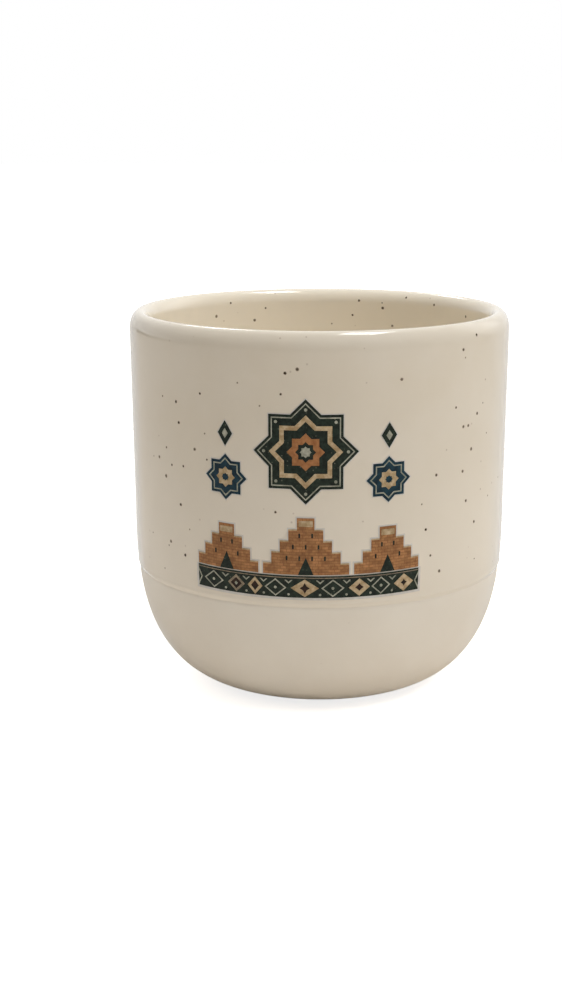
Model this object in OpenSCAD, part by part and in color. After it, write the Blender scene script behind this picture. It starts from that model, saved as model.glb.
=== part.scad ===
// Arabic coffee cup: a round stoneware cup without a handle.
// A speckled gloss glaze covers its upper wall and a smooth satin glaze its bowl.
// A printed band of lozenges runs round the front, with a printed panel above it.
// The cup stands on the plane z = 0 round the Z axis. Its front faces -Y,
// and angles round the cup are counted from the front towards +X.

/* [Cup body] */
// Height from the foot to the top of the lip
cup_h = 70; // [66:1:90]
// Diameter at the top of the straight wall
cup_d = 70; // [66:1:80]
// Thickness of the finished wall
wall = 3.7; // [3.1:0.1:5]
// How much smaller the radius is at the shoulder than under the lip
wall_taper = 0.34; // [0:0.02:2]
// Height where the bowl turns into the straight wall
shoulder_h = 34.2; // [31:0.2:38]
// Power of the bowl's curve near its side, where 2 is an ellipse
bowl_side_power = 2; // [1.7:0.1:2.4]
// Power of the bowl's curve near its floor, where 2 is an ellipse
bowl_floor_power = 3; // [2.6:0.1:3.4]

/* [Lip] */
// Height of the lip's outer rounding
lip_h = 3.3; // [2:0.1:5]
// Distance from the outer wall to the crest of the lip
lip_in = 1.9; // [1.4:0.1:2.4]
// Height of the lip's inner rounding
lip_inner_h = 2.6; // [1.5:0.1:4]

/* [Inside] */
// Height of the floor inside the cup
floor_h = 5; // [4:0.1:7]
// Diameter of the flat floor inside the cup
floor_d = 24; // [16:1:32]

/* [Foot] */
// Diameter of the foot ring
foot_d = 34; // [28:1:40]
// Width of the foot ring
foot_w = 3; // [2:0.1:5]
// How far the foot ring stands below the glazed bowl
foot_stand = 0.5; // [0.3:0.1:1.2]
// Depth of the hollow inside the foot ring
recess_h = 1.4; // [0.8:0.1:2]
// Bevel on both edges of the foot ring
foot_bevel = 0.4; // [0.2:0.1:0.8]
// Width of clay left bare outside the foot ring
wipe_w = 1.2; // [0.5:0.1:3]
// Width of clay left bare inside the foot ring
base_margin = 0.8; // [0.3:0.1:2]

/* [Glaze] */
// Thickness of the gloss glaze on the upper wall
gloss_t = 0.4; // [0.3:0.05:0.6]
// Thickness of the satin glaze on the bowl
satin_t = 0.3; // [0.2:0.05:0.4]
// Thickness of the glaze inside the cup
liner_t = 0.35; // [0.2:0.05:0.6]
// Height of the line where the gloss glaze ends
dip_h = 22.9; // [18:0.1:26]
// Height of the rolled edge of the gloss glaze
edge_h = 0.85; // [0.4:0.05:1]
// How far the rolled edge stands out
edge_out = 0.1; // [0.04:0.02:0.2]

/* [Specks] */
// Diameter of the largest iron speck
speck_d = 0.62; // [0.4:0.02:1]
// Thickness of an iron speck
speck_t = 0.04; // [0.02:0.01:0.1]
// Number of specks on the outside beyond the front
back_speck_count = 96; // [20:4:140]
// Number of specks inside beyond those at the lip
liner_speck_count = 40; // [10:2:60]

/* [Printed band] */
// Thickness of one coat of print
print_t = 0.04; // [0.02:0.01:0.08]
// Angle of the middle of the print round the cup
print_turn = -3.6; // [-20:0.2:20]
// Length of the band along the wall
band_len = 40.9; // [36:0.1:48]
// Height of the band
band_h = 3.9; // [3.3:0.1:4.6]
// Gap between the rolled edge of the gloss glaze and the film under the band
band_lift = 0.1; // [0.04:0.02:1]
// Width of the pale film that shows below the band and at its ends
film_w = 0.45; // [0.1:0.05:0.6]
// Distance from the top of the band to its hairline
hairline_drop = 0.26; // [0.1:0.02:0.5]
// Width of the hairline
hairline_w = 0.18; // [0.08:0.02:0.3]
// Half the width of a common lozenge
lozenge_half_w = 2; // [1.6:0.05:2.05]
// Width of the line that draws an open lozenge
lozenge_line_w = 0.26; // [0.16:0.02:0.3]
// Radius of the bead inside an open lozenge
bead_r = 0.3; // [0.2:0.01:0.36]
// Half the width of the chevrons between the lozenges
chevron_half_w = 0.6; // [0.4:0.05:0.7]
// Height of the chevrons
chevron_h = 0.75; // [0.5:0.05:1]
// Radius of the dots under the chevrons
dot_r = 0.22; // [0.15:0.01:0.3]

/* [Printed panel] */
// Room between the band and the lip that the heights and stars below are drawn for
panel_room = 38.3; // [30:0.1:46]
// Width of the pale film that shows round the panel's figures
halo_w = 0.25; // [0.1:0.05:0.4]
// Gap between the band and the stepped frieze
frieze_lift = 0.2; // [0.1:0.05:1]
// Width of one step of the frieze
step_w = 1.5; // [1.3:0.05:1.6]
// Height of one step of the frieze
step_h = 2; // [1.4:0.1:2.2]
// Number of steps of the middle gable
middle_steps = 5; // [3:1:5]
// Number of steps of each side gable
side_steps = 4; // [3:1:4]
// Gap between the films of neighbouring figures
figure_gap = 0.1; // [0.05:0.05:0.6]
// Diameter of the star medallion
medallion_d = 18; // [13:0.5:19]
// Gap between the middle gable and the medallion
medallion_gap = 2.4; // [1.5:0.1:3]
// Diameter of each side star
side_star_d = 8; // [6:0.2:9]
// Gap between a side gable and its star
side_star_gap = 4.2; // [2.5:0.1:5]
// Height of the small drop over each side star
drop_h = 4.4; // [3:0.1:5]
// Width of the small drop
drop_w = 2.8; // [2:0.1:3.4]
// Gap between a side star and its drop
drop_gap = 1.4; // [1.2:0.1:2.5]

/* [Hidden] */

$fn = 180;
round_fn = 24;
speck_fn = 16;
overrun = 1;

clay_colour = [0.80, 0.72, 0.60];
gloss_colour = [0.80, 0.76, 0.69];
satin_colour = [0.85, 0.82, 0.76];
speck_colour = [0.30, 0.19, 0.12];
film_colour = [0.86, 0.85, 0.88];
green_colour = [0.07, 0.12, 0.10];
navy_colour = [0.08, 0.23, 0.29];
terracotta_colour = [0.66, 0.44, 0.28];
pale_colour = [0.72, 0.69, 0.60];
sand_colour = [0.80, 0.67, 0.48];

// Radii and heights of the finished cup
cup_r = cup_d / 2;
shoulder_r = cup_r - wall_taper;
foot_r = foot_d / 2;
foot_inner_r = foot_r - foot_w;
floor_r = floor_d / 2;
crest_r = cup_r - lip_in;
lip_start_h = cup_h - lip_h;
inner_lip_h = cup_h - lip_inner_h;
edge_top_h = dip_h + edge_h;

// Each bowl is [least radius, largest radius, lowest height, highest height]
clay_bowl = [foot_r - satin_t, shoulder_r - gloss_t, foot_stand + satin_t, shoulder_h];
satin_bowl = [foot_r, shoulder_r - gloss_t + satin_t, foot_stand, shoulder_h];
gloss_bowl = [foot_r, shoulder_r, foot_stand, shoulder_h];
liner_bowl = [floor_r, shoulder_r - wall, floor_h, shoulder_h];
inner_clay_bowl = [floor_r, shoulder_r - wall + liner_t, floor_h - liner_t, shoulder_h];

// Straight pieces that stand for each stretch of the cup's outline
wipe_steps = 3;
bowl_steps = 16;
rise_steps = 3;
lip_steps = 9;
inner_steps = 18;

// Rolled edge of the gloss glaze, as shares of its height and of how far it stands out
edge_shares = [[0, 0.5], [0.2, 0.95], [0.45, 1], [0.75, 0.4], [1, 0]];

// Hand-placed specks outside: place from the middle of the print as a share of the band's length,
// height as a share of the way from the panel's foot to the lip, and share of the largest diameter
front_speck_shares = [
    [-0.712, 0.752, 0.6], [-0.618, 0.739, 0.9], [-0.603, 0.645, 0.9], [-0.693, 0.517, 0.7],
    [-0.753, 0.462, 0.9], [-0.802, 0.457, 0.5], [-0.657, 0.441, 0.7], [-0.581, 0.447, 0.7],
    [-0.702, 0.381, 1], [-0.511, 0.535, 0.9], [-0.603, 0.264, 0.9], [-0.551, 0.156, 0.5],
    [-0.678, 0.075, 0.9], [-0.693, 0.053, 0.5], [-0.582, 0.029, 0.9], [-0.833, 0.083, 0.5],
    [-0.735, -0.068, 0.5], [-0.475, 0.793, 0.7], [-0.085, 0.909, 0.9], [-0.034, 0.927, 1],
    [-0.103, 0.816, 0.7], [-0.290, 0.857, 0.5], [-0.454, 0.614, 0.5], [-0.445, 0.496, 0.6],
    [-0.193, 0.761, 0.5], [-0.128, 0.287, 0.7], [0.402, 0.872, 0.9], [0.723, 0.975, 0.9],
    [0.738, 0.938, 0.5], [0.687, 0.718, 0.7], [0.880, 0.713, 0.5], [0.835, 0.671, 0.9],
    [0.738, 0.624, 0.9], [0.771, 0.624, 0.9], [0.923, 0.566, 0.5], [0.798, 0.512, 1],
    [0.584, 0.423, 0.9], [0.742, 0.417, 0.9], [0.511, 0.298, 0.5], [0.771, 0.274, 0.9],
    [0.959, 0.261, 0.5], [1.090, 0.321, 0.5], [0.535, 0.178, 0.8], [0.838, 0.162, 0.9],
    [0.562, 0.053, 0.7], [0.614, -0.029, 0.9], [0.851, -0.019, 0.5]
];
// Hand-placed specks inside, with the height as a share of the straight inner wall
far_speck_shares = [
    [-139, 0.943, 1], [-159.7, 0.972, 0.7], [175.2, 0.870, 0.5],
    [167.4, 0.925, 0.7], [155.7, 0.975, 1], [115.3, 0.978, 0.9], [-122, 0.90, 0.6]
];
// Two steps that spread points evenly over a field, from the plastic number
spread_x_share = 0.7549;
spread_y_share = 0.5698;
speck_size_low_share = 0.4;
front_turn = 76;

// Lozenges of the band: place along the band, share of the common half width,
// and share of the common line width, which is 0 for a solid lozenge with a dark core
lozenge_shares = [
    [0.082, 1.00, 1], [0.193, 0.83, 1.5], [0.280, 0.69, 0], [0.370, 0.97, 1], [0.496, 1.23, 0],
    [0.615, 1.01, 1], [0.728, 0.94, 0], [0.823, 0.87, 1], [0.928, 0.94, 0]
];
lozenge_last = len(lozenge_shares) - 1;

// Heights and places that follow from the sizes above
band_base_h = edge_top_h + band_lift + film_w;
band_top_h = band_base_h + band_h;
hairline_top_h = band_top_h - hairline_drop;
hairline_base_h = hairline_top_h - hairline_w;
lozenge_room = hairline_base_h - band_base_h;
lozenge_tall_share = 0.45;
lozenge_half_h = lozenge_room * lozenge_tall_share;
lozenge_mid_h = band_base_h + lozenge_room / 2;
frieze_base_h = band_top_h + frieze_lift;
panel_scale = (lip_start_h - frieze_base_h) / panel_room;
star_scale = sqrt(panel_scale);
riser_h = step_h * panel_scale;
middle_gable_w = step_w * middle_steps;
side_gable_w = step_w * side_steps;
medallion_r = medallion_d / 2 * star_scale;
side_star_r = side_star_d / 2 * star_scale;
drop_half_h = drop_h / 2 * panel_scale;
medallion_h = frieze_base_h + riser_h * middle_steps + medallion_gap * panel_scale + medallion_r;
side_star_h = frieze_base_h + riser_h * side_steps + side_star_gap * panel_scale + side_star_r;
drop_mid_h = side_star_h + side_star_r + drop_gap * panel_scale + drop_half_h;

// Shares that shape the printed figures
star_waist_share = 0.765;
tracery_outer_share = 0.70;
tracery_inner_share = 0.58;
heart_share = 0.36;
heart_hole_share = 0.55;
eye_share = 0.45;
core_w_share = 0.4;
core_h_share = 0.52;
core_waist_share = 0.45;
chevron_line_share = 0.45;
chevron_drop_share = 0.1;
dot_place_share = 0.75;
opening_w_share = 0.9;
opening_h_share = 1.7;
cap_w_share = 0.8;
cap_h_share = 0.5;

// Coats of print, counted outward from the glaze
film_coat = 0;
ground_coat = 1;
figure_coat = 2;
core_coat = 3;

function share_of(low, high, share) = low + (high - low) * share;
function fraction(x) = x - floor(x);

// Height and diameter of one of the evenly spread specks
function spread_height(i, low, high) = share_of(low, high, fraction(i * spread_y_share));
function spread_diameter(i) =
    speck_d * share_of(speck_size_low_share, 1, fraction(i * i * spread_x_share));

// One point of a bowl at an angle that grows from 0 at its floor to 90 at its shoulder
function bowl_point(bowl, a) = [
    share_of(bowl[0], bowl[1], pow(sin(a), 2 / bowl_side_power)),
    share_of(bowl[3], bowl[2], pow(cos(a), 2 / bowl_floor_power))
];
function bowl_angle_at_height(bowl, h) =
    acos(pow((bowl[3] - h) / (bowl[3] - bowl[2]), bowl_floor_power / 2));
function bowl_angle_at_radius(bowl, r) =
    asin(pow((r - bowl[0]) / (bowl[1] - bowl[0]), bowl_side_power / 2));
function bowl_path(bowl, from, to, steps) =
    [for (i = [0:steps]) bowl_point(bowl, share_of(from, to, i / steps))];
function bowl_radius(bowl, h) = bowl_point(bowl, bowl_angle_at_height(bowl, h))[0];

// Quarter of an ellipse round a centre
function rounding(centre, size, from, to) = [
    for (i = [0:lip_steps])
        let (a = share_of(from, to, i / lip_steps))
            [centre[0] + size[0] * cos(a), centre[1] + size[1] * sin(a)]
];
function backwards(path) = [for (i = [len(path) - 1:-1:0]) path[i]];

// Outlines of the clay that the glazes share
clay_foot_angle = bowl_angle_at_radius(clay_bowl, foot_r);
clay_wipe_angle = bowl_angle_at_radius(clay_bowl, foot_r + wipe_w);
clay_dip_angle = bowl_angle_at_height(clay_bowl, dip_h);
clay_under_foot = bowl_path(clay_bowl, clay_foot_angle, clay_wipe_angle, wipe_steps);
clay_under_satin = bowl_path(clay_bowl, clay_wipe_angle, clay_dip_angle, bowl_steps);
clay_under_gloss = concat(
    bowl_path(clay_bowl, clay_dip_angle, 90, rise_steps),
    rounding([crest_r, lip_start_h], [lip_in - gloss_t, lip_h - liner_t], 0, 90)
);
clay_under_liner = concat(
    rounding([crest_r, inner_lip_h], [wall - lip_in - liner_t, lip_inner_h - liner_t], 90, 180),
    backwards(bowl_path(inner_clay_bowl, 0, 90, inner_steps)),
    [[0, floor_h - liner_t]]
);

// Heights and radii of the gloss surface, with one straight piece under the band,
// more up to the shoulder, and one straight wall from there to the lip
glaze_table = concat(
    [[edge_top_h, bowl_radius(gloss_bowl, edge_top_h)]],
    [
        for (i = [0:rise_steps])
            let (h = share_of(frieze_base_h, shoulder_h, i / rise_steps))
                [h, bowl_radius(gloss_bowl, h)]
    ],
    [[lip_start_h, cup_r]]
);
function glaze_radius(h) = lookup(h, glaze_table);
function liner_radius(h) = lookup(h, [[shoulder_h, shoulder_r - wall], [inner_lip_h, cup_r - wall]]);

// How far inside the widest radius each kind of figure is cut
band_depth = cup_r - glaze_radius(edge_top_h) + bead_r;
speck_depth = cup_r - glaze_radius(edge_top_h) + speck_d;
liner_depth = wall + wall_taper + speck_d;

// Turn from the middle figure to a side figure, from the half widths of their films
figure_r = glaze_radius(frieze_base_h);
function turn_between(middle_w, side_w) =
    asin((middle_w + halo_w) / figure_r) + asin((side_w + halo_w) / figure_r)
        + figure_gap / figure_r * 180 / PI;
side_turn = max(
    turn_between(middle_gable_w, side_gable_w),
    turn_between(medallion_r, side_star_r)
);

// Angle round the cup of a place along the wall, measured from the middle of the print
function print_angle(arc) = print_turn + arc / cup_r * 180 / PI;
band_turn = print_angle(band_len) - print_turn;
function band_arc(share) = band_len * (share - 0.5);

module turned(points) {
    rotate_extrude() polygon(points);
}

// Points a flat figure outward at an angle round the cup and a height,
// as a prism that starts a given depth inside the wall
module facing(angle, h, depth) {
    rotate([0, 0, angle])
        translate([0, depth - cup_r, h])
            rotate([90, 0, 0])
                linear_extrude(height = depth + overrun)
                    children();
}

// Outline of a thin coat that lies on the gloss glaze between two heights
function coat_outline(base, top, inner, outer) =
    let (
        heights = concat(
            [base],
            [for (row = glaze_table) if (row[0] > base && row[0] < top) row[0]],
            [top]
        )
    )
    concat(
        [for (h = heights) [glaze_radius(h) + inner, h]],
        [for (h = backwards(heights)) [glaze_radius(h) + outer, h]]
    );
function print_outline(coat, base, top) =
    coat_outline(base, top, coat * print_t, (coat + 1) * print_t);

// Lays figures on the wall as one coat of print
module printed(coat, base, top) {
    intersection() {
        turned(print_outline(coat, base, top));
        union() children();
    }
}

// Strip of print that follows the wall for the length of the band
module strip(coat, base, top, extra_turn) {
    turn = band_turn + 2 * extra_turn;
    rotate([0, 0, print_turn - turn / 2 - 90])
        rotate_extrude(angle = turn)
            polygon(print_outline(coat, base, top));
}

module star(r) {
    polygon([
        for (i = [0:15])
            let (reach = i % 2 == 0 ? r : r * star_waist_share)
                [reach * sin(i * 22.5), reach * cos(i * 22.5)]
    ]);
}

module star_ring(r, hole_r) {
    difference() {
        star(r);
        star(hole_r);
    }
}

module lozenge(half_w, half_h) {
    polygon([[half_w, 0], [0, half_h], [-half_w, 0], [0, -half_h]]);
}

// Lozenge drawn as a line of even width
module open_lozenge(half_w, half_h, line_w) {
    side = norm([half_w, half_h]);
    hole_w = half_w - line_w * side / half_h;
    difference() {
        lozenge(half_w, half_h);
        lozenge(hole_w, hole_w * half_h / half_w);
    }
}

// Dark core of a solid lozenge, with four points and drawn-in sides
module core_star(reach_w, reach_h) {
    polygon([
        for (i = [0:7])
            let (reach = i % 2 == 0 ? 1 : core_waist_share)
                [reach * reach_w * sin(i * 45), reach * reach_h * cos(i * 45)]
    ]);
}

module chevron(half_w, drop) {
    line = half_w * chevron_line_share;
    polygon([
        [-half_w, 0], [line - half_w, 0], [0, drop * (chevron_line_share - 1)],
        [half_w - line, 0], [half_w, 0], [0, -drop]
    ]);
}

// Gable with steps, standing on its base, made larger by an even margin
module stepped_gable(steps, margin) {
    right = [
        for (i = [0:steps - 1])
            for (end = [0, 1])
                [(steps - i) * step_w + margin, (i + end) * riser_h + (i + end > 0 ? margin : 0)]
    ];
    polygon(concat(right, [for (p = backwards(right)) [-p[0], p[1]]]));
}

module gables(margin) {
    facing(print_turn, frieze_base_h, wall) stepped_gable(middle_steps, margin);
    for (side = [-1, 1])
        facing(print_turn + side * side_turn, frieze_base_h, wall) stepped_gable(side_steps, margin);
}

module at_lozenge(i) {
    facing(print_angle(band_arc(lozenge_shares[i][0])), lozenge_mid_h, band_depth) children();
}
function lozenge_w(i) = lozenge_half_w * lozenge_shares[i][1];
function line_share(i) = lozenge_shares[i][2];
function is_open(i) = line_share(i) > 0;
// Place of the gap after a lozenge, midway between the two facing corners
function gap_arc(i) =
    (band_arc(lozenge_shares[i][0]) + lozenge_w(i)
        + band_arc(lozenge_shares[i + 1][0]) - lozenge_w(i + 1)) / 2;

module stoneware_body() {
    color(clay_colour)
        turned(concat(
            [
                [0, recess_h],
                [foot_inner_r, recess_h],
                [foot_inner_r, foot_bevel],
                [foot_inner_r + foot_bevel, 0],
                [foot_r - foot_bevel, 0],
                [foot_r, foot_bevel]
            ],
            clay_under_foot,
            [for (i = [1:len(clay_under_satin) - 1]) clay_under_satin[i]],
            [for (i = [1:len(clay_under_gloss) - 1]) clay_under_gloss[i]],
            [for (i = [1:len(clay_under_liner) - 1]) clay_under_liner[i]]
        ));
}

module liner_glaze() {
    color(gloss_colour)
        turned(concat(
            clay_under_liner,
            [[0, floor_h]],
            bowl_path(liner_bowl, 0, 90, inner_steps),
            rounding([crest_r, inner_lip_h], [wall - lip_in, lip_inner_h], 180, 90)
        ));
}

module gloss_glaze() {
    edge = [
        for (s = edge_shares)
            let (h = dip_h + edge_h * s[0])
                [bowl_radius(gloss_bowl, h) + edge_out * s[1], h]
    ];
    color(gloss_colour)
        turned(concat(
            backwards(clay_under_gloss),
            edge,
            [for (i = [1:len(glaze_table) - 2]) [glaze_table[i][1], glaze_table[i][0]]],
            rounding([crest_r, lip_start_h], [lip_in, lip_h], 0, 90)
        ));
}

module satin_glaze() {
    color(satin_colour)
        turned(concat(
            backwards(clay_under_satin),
            bowl_path(
                satin_bowl,
                bowl_angle_at_radius(satin_bowl, foot_r + wipe_w),
                bowl_angle_at_height(satin_bowl, dip_h),
                bowl_steps
            )
        ));
}

module base_glaze() {
    color(satin_colour)
        translate([0, 0, recess_h - satin_t])
            cylinder(r = foot_inner_r - base_margin, h = satin_t);
}

module outer_specks() {
    color(speck_colour)
        intersection() {
            turned(coat_outline(edge_top_h, lip_start_h, 0, speck_t));
            union() {
                for (s = front_speck_shares)
                    facing(
                        print_angle(band_len * s[0]),
                        share_of(frieze_base_h, lip_start_h, s[1]),
                        speck_depth
                    )
                        circle(d = speck_d * s[2], $fn = speck_fn);
                for (i = [1:back_speck_count])
                    facing(
                        share_of(front_turn, 360 - front_turn, fraction(i * spread_x_share)),
                        spread_height(i, edge_top_h + speck_d, lip_start_h - speck_d),
                        speck_depth
                    )
                        circle(d = spread_diameter(i), $fn = speck_fn);
            }
        }
}

module liner_specks() {
    color(speck_colour)
        intersection() {
            turned([
                [liner_radius(shoulder_h), shoulder_h],
                [liner_radius(inner_lip_h), inner_lip_h],
                [liner_radius(inner_lip_h) - speck_t, inner_lip_h],
                [liner_radius(shoulder_h) - speck_t, shoulder_h]
            ]);
            union() {
                for (s = far_speck_shares)
                    facing(s[0], share_of(shoulder_h, inner_lip_h, s[1]), liner_depth)
                        circle(d = speck_d * s[2], $fn = speck_fn);
                for (i = [1:liner_speck_count])
                    facing(
                        360 * fraction(i * spread_x_share),
                        spread_height(i, shoulder_h + speck_d, inner_lip_h - lip_inner_h),
                        liner_depth
                    )
                        circle(d = spread_diameter(i), $fn = speck_fn);
            }
        }
}

// Pale clear film that carries the print and shows as a fine rim round it
module print_film() {
    film_turn = print_angle(film_w) - print_turn;
    color(film_colour)
        union() {
            strip(film_coat, band_base_h - film_w, band_top_h + frieze_lift / 2, film_turn);
            printed(film_coat, frieze_base_h, lip_start_h) {
                gables(halo_w);
                facing(print_turn, medallion_h, wall) star(medallion_r + halo_w);
                for (side = [-1, 1]) {
                    facing(print_turn + side * side_turn, side_star_h, wall) star(side_star_r + halo_w);
                    facing(print_turn + side * side_turn, drop_mid_h, wall)
                        lozenge(drop_w / 2 + halo_w, drop_half_h + halo_w);
                }
            }
        }
}

module band_ground() {
    color(green_colour) strip(ground_coat, band_base_h, band_top_h, 0);
}

module band_hairline() {
    color(sand_colour) strip(figure_coat, hairline_base_h, hairline_top_h, 0);
}

module band_sand_lozenges() {
    color(sand_colour)
        printed(figure_coat, band_base_h, band_top_h)
            for (i = [0:lozenge_last])
                if (!is_open(i))
                    at_lozenge(i) lozenge(lozenge_w(i), lozenge_half_h);
}

module band_open_lozenges() {
    color(pale_colour)
        printed(figure_coat, band_base_h, band_top_h)
            for (i = [0:lozenge_last])
                if (is_open(i))
                    at_lozenge(i)
                        open_lozenge(lozenge_w(i), lozenge_half_h, lozenge_line_w * line_share(i));
}

module band_dark_cores() {
    color(green_colour)
        printed(core_coat, band_base_h, band_top_h)
            for (i = [0:lozenge_last])
                if (!is_open(i))
                    at_lozenge(i) core_star(lozenge_w(i) * core_w_share, lozenge_half_h * core_h_share);
}

module band_beads() {
    color(sand_colour)
        printed(figure_coat, band_base_h, band_top_h)
            for (i = [0:lozenge_last])
                if (is_open(i))
                    at_lozenge(i) circle(r = bead_r, $fn = round_fn);
}

// Chevrons under the hairline, one in each gap between two lozenges
module band_chevrons() {
    color(pale_colour)
        printed(figure_coat, band_base_h, band_top_h)
            for (i = [0:lozenge_last - 1])
                facing(
                    print_angle(gap_arc(i)),
                    lozenge_mid_h + lozenge_half_h * (1 - chevron_drop_share),
                    band_depth
                )
                    chevron(chevron_half_w, chevron_h);
}

module band_dots() {
    color(pale_colour)
        printed(figure_coat, band_base_h, band_top_h)
            for (i = [0:lozenge_last - 1])
                facing(
                    print_angle(gap_arc(i)),
                    lozenge_mid_h - lozenge_half_h * dot_place_share,
                    band_depth
                )
                    circle(r = dot_r, $fn = round_fn);
}

module medallion_ground() {
    color(green_colour)
        printed(ground_coat, frieze_base_h, lip_start_h)
            facing(print_turn, medallion_h, wall) star(medallion_r);
}

module medallion_tracery() {
    color(sand_colour)
        printed(figure_coat, frieze_base_h, lip_start_h)
            facing(print_turn, medallion_h, wall)
                star_ring(medallion_r * tracery_outer_share, medallion_r * tracery_inner_share);
}

module medallion_heart() {
    color(terracotta_colour)
        printed(figure_coat, frieze_base_h, lip_start_h)
            facing(print_turn, medallion_h, wall)
                star_ring(medallion_r * heart_share, medallion_r * heart_share * heart_hole_share);
}

module side_stars() {
    color(navy_colour)
        printed(ground_coat, frieze_base_h, lip_start_h)
            for (side = [-1, 1])
                facing(print_turn + side * side_turn, side_star_h, wall) star(side_star_r);
}

module side_star_eyes() {
    color(sand_colour)
        printed(figure_coat, frieze_base_h, lip_start_h)
            for (side = [-1, 1])
                facing(print_turn + side * side_turn, side_star_h, wall) star(side_star_r * eye_share);
}

module side_drops() {
    color(green_colour)
        printed(ground_coat, frieze_base_h, lip_start_h)
            for (side = [-1, 1])
                facing(print_turn + side * side_turn, drop_mid_h, wall) lozenge(drop_w / 2, drop_half_h);
}

module frieze_gables() {
    color(terracotta_colour)
        printed(ground_coat, frieze_base_h, lip_start_h)
            gables(0);
}

// Pointed dark openings, one in the middle of each gable's lowest steps
module frieze_openings() {
    opening = [[-step_w, 0], [step_w, 0], [0, riser_h * opening_h_share]] * opening_w_share;
    color(green_colour)
        printed(figure_coat, frieze_base_h, lip_start_h) {
            facing(print_turn, frieze_base_h, wall) polygon(opening);
            for (side = [-1, 1])
                facing(print_turn + side * side_turn, frieze_base_h, wall) polygon(opening);
        }
}

// Pale block on the top step of each gable
module frieze_caps() {
    module cap(steps)
        translate([0, riser_h * (steps - cap_h_share)])
            square([2 * step_w * cap_w_share, riser_h * cap_h_share], center = true);
    color(sand_colour)
        printed(figure_coat, frieze_base_h, lip_start_h) {
            facing(print_turn, frieze_base_h, wall) cap(middle_steps);
            for (side = [-1, 1])
                facing(print_turn + side * side_turn, frieze_base_h, wall) cap(side_steps);
        }
}

stoneware_body();
liner_glaze();
gloss_glaze();
satin_glaze();
base_glaze();
outer_specks();
liner_specks();
print_film();
band_ground();
band_hairline();
band_sand_lozenges();
band_open_lozenges();
band_dark_cores();
band_beads();
band_chevrons();
band_dots();
medallion_ground();
medallion_tracery();
medallion_heart();
side_stars();
side_star_eyes();
side_drops();
frieze_gables();
frieze_openings();
frieze_caps();
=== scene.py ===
"""Looks of a handleless Arabic coffee cup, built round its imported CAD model.

The cup is one piece of stoneware under four coats of glaze, with iron specks and
a fired print on its front. Lengths are in millimetres until a mesh is made, and
angles are in degrees, counted round the cup from its front (-Y) towards +X.
"""

import logging
import math
import random
from collections import defaultdict
from dataclasses import dataclass, field
from enum import Enum

import bmesh
import bpy
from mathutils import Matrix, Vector


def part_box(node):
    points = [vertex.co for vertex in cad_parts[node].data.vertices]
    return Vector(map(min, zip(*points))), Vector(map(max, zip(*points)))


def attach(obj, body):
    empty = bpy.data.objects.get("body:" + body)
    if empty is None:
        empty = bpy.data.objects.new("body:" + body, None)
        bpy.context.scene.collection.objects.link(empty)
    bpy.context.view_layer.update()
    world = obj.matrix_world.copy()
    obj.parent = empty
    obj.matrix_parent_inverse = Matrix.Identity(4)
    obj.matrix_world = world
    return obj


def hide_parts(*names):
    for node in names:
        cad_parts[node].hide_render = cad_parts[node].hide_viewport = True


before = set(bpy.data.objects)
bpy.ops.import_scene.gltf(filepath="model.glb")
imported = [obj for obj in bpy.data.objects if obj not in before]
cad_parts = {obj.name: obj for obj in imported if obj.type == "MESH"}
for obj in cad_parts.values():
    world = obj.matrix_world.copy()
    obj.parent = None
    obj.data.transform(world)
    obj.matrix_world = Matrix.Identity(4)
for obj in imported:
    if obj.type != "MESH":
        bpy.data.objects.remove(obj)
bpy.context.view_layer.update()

MM = 0.001
BODY = "root"

# Marks that a mesh carries for its material.
PLACE_MARK = "wall_place"
BROWN_MARK = "brown"

# Steps along the long and the short stretches of an outline.
LONG_STEPS = 60
SHORT_STEPS = 24

# Angle from which an edge is shaded sharp, and distances under which two points are one:
# on a flat figure or an outline in millimetres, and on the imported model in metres.
SHARP_ANGLE = math.radians(38)
SAME_SPOT = 1e-5
SAME_PLACE = 1e-6

# Distance between two nodes of a shader tree, and the sockets of a colour Mix node, which
# its name doesn't tell apart.
NODE_STEP = 190
MIX_FIRST, MIX_SECOND, MIX_RESULT = 6, 7, 2

BLACK = (0.0, 0.0, 0.0, 1.0)
WHITE = (1.0, 1.0, 1.0, 1.0)

Point = tuple[float, float]
Outline = list[Point]
Colour = tuple[float, float, float]
Socket = bpy.types.NodeSocket

log = logging.getLogger("cup")


class Slot(Enum):
    """Material slots of the record, which the pieces are listed with."""

    STONEWARE = "stoneware"
    GLOSS = "gloss_glaze"
    SATIN = "satin_glaze"
    SPECK = "iron_speck"
    FILM = "print_film"
    GREEN = "print_green"
    NAVY = "print_navy"
    TERRACOTTA = "print_terracotta"
    PALE = "print_pale"
    SAND = "print_sand"


class Coat(Enum):
    """Coats of the fired print, counted outward from the glaze."""

    FILM = 0
    GROUND = 1
    FIGURE = 2
    CORE = 3


def share_of(low: float, high: float, share: float) -> float:
    """Finds the value that lies a share of the way from one value to another.

    Args:
        low: Value at share 0.
        high: Value at share 1.
        share: Share of the way.

    Returns:
        The value between them.
    """
    return low + (high - low) * share


def linear(colour: str) -> Colour:
    """Turns a colour written as six hex digits into the linear values that shaders take.

    Args:
        colour: Red, green and blue as the screen shows them, such as "d8cfbf".

    Returns:
        Linear red, green and blue.
    """
    knee, slope, offset, power = 0.04045, 12.92, 0.055, 2.4
    levels = [int(colour[i:i + 2], 16) / 255 for i in (0, 2, 4)]
    return tuple(
        level / slope if level <= knee else ((level + offset) / (1 + offset)) ** power
        for level in levels
    )


# Form of the cup


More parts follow.
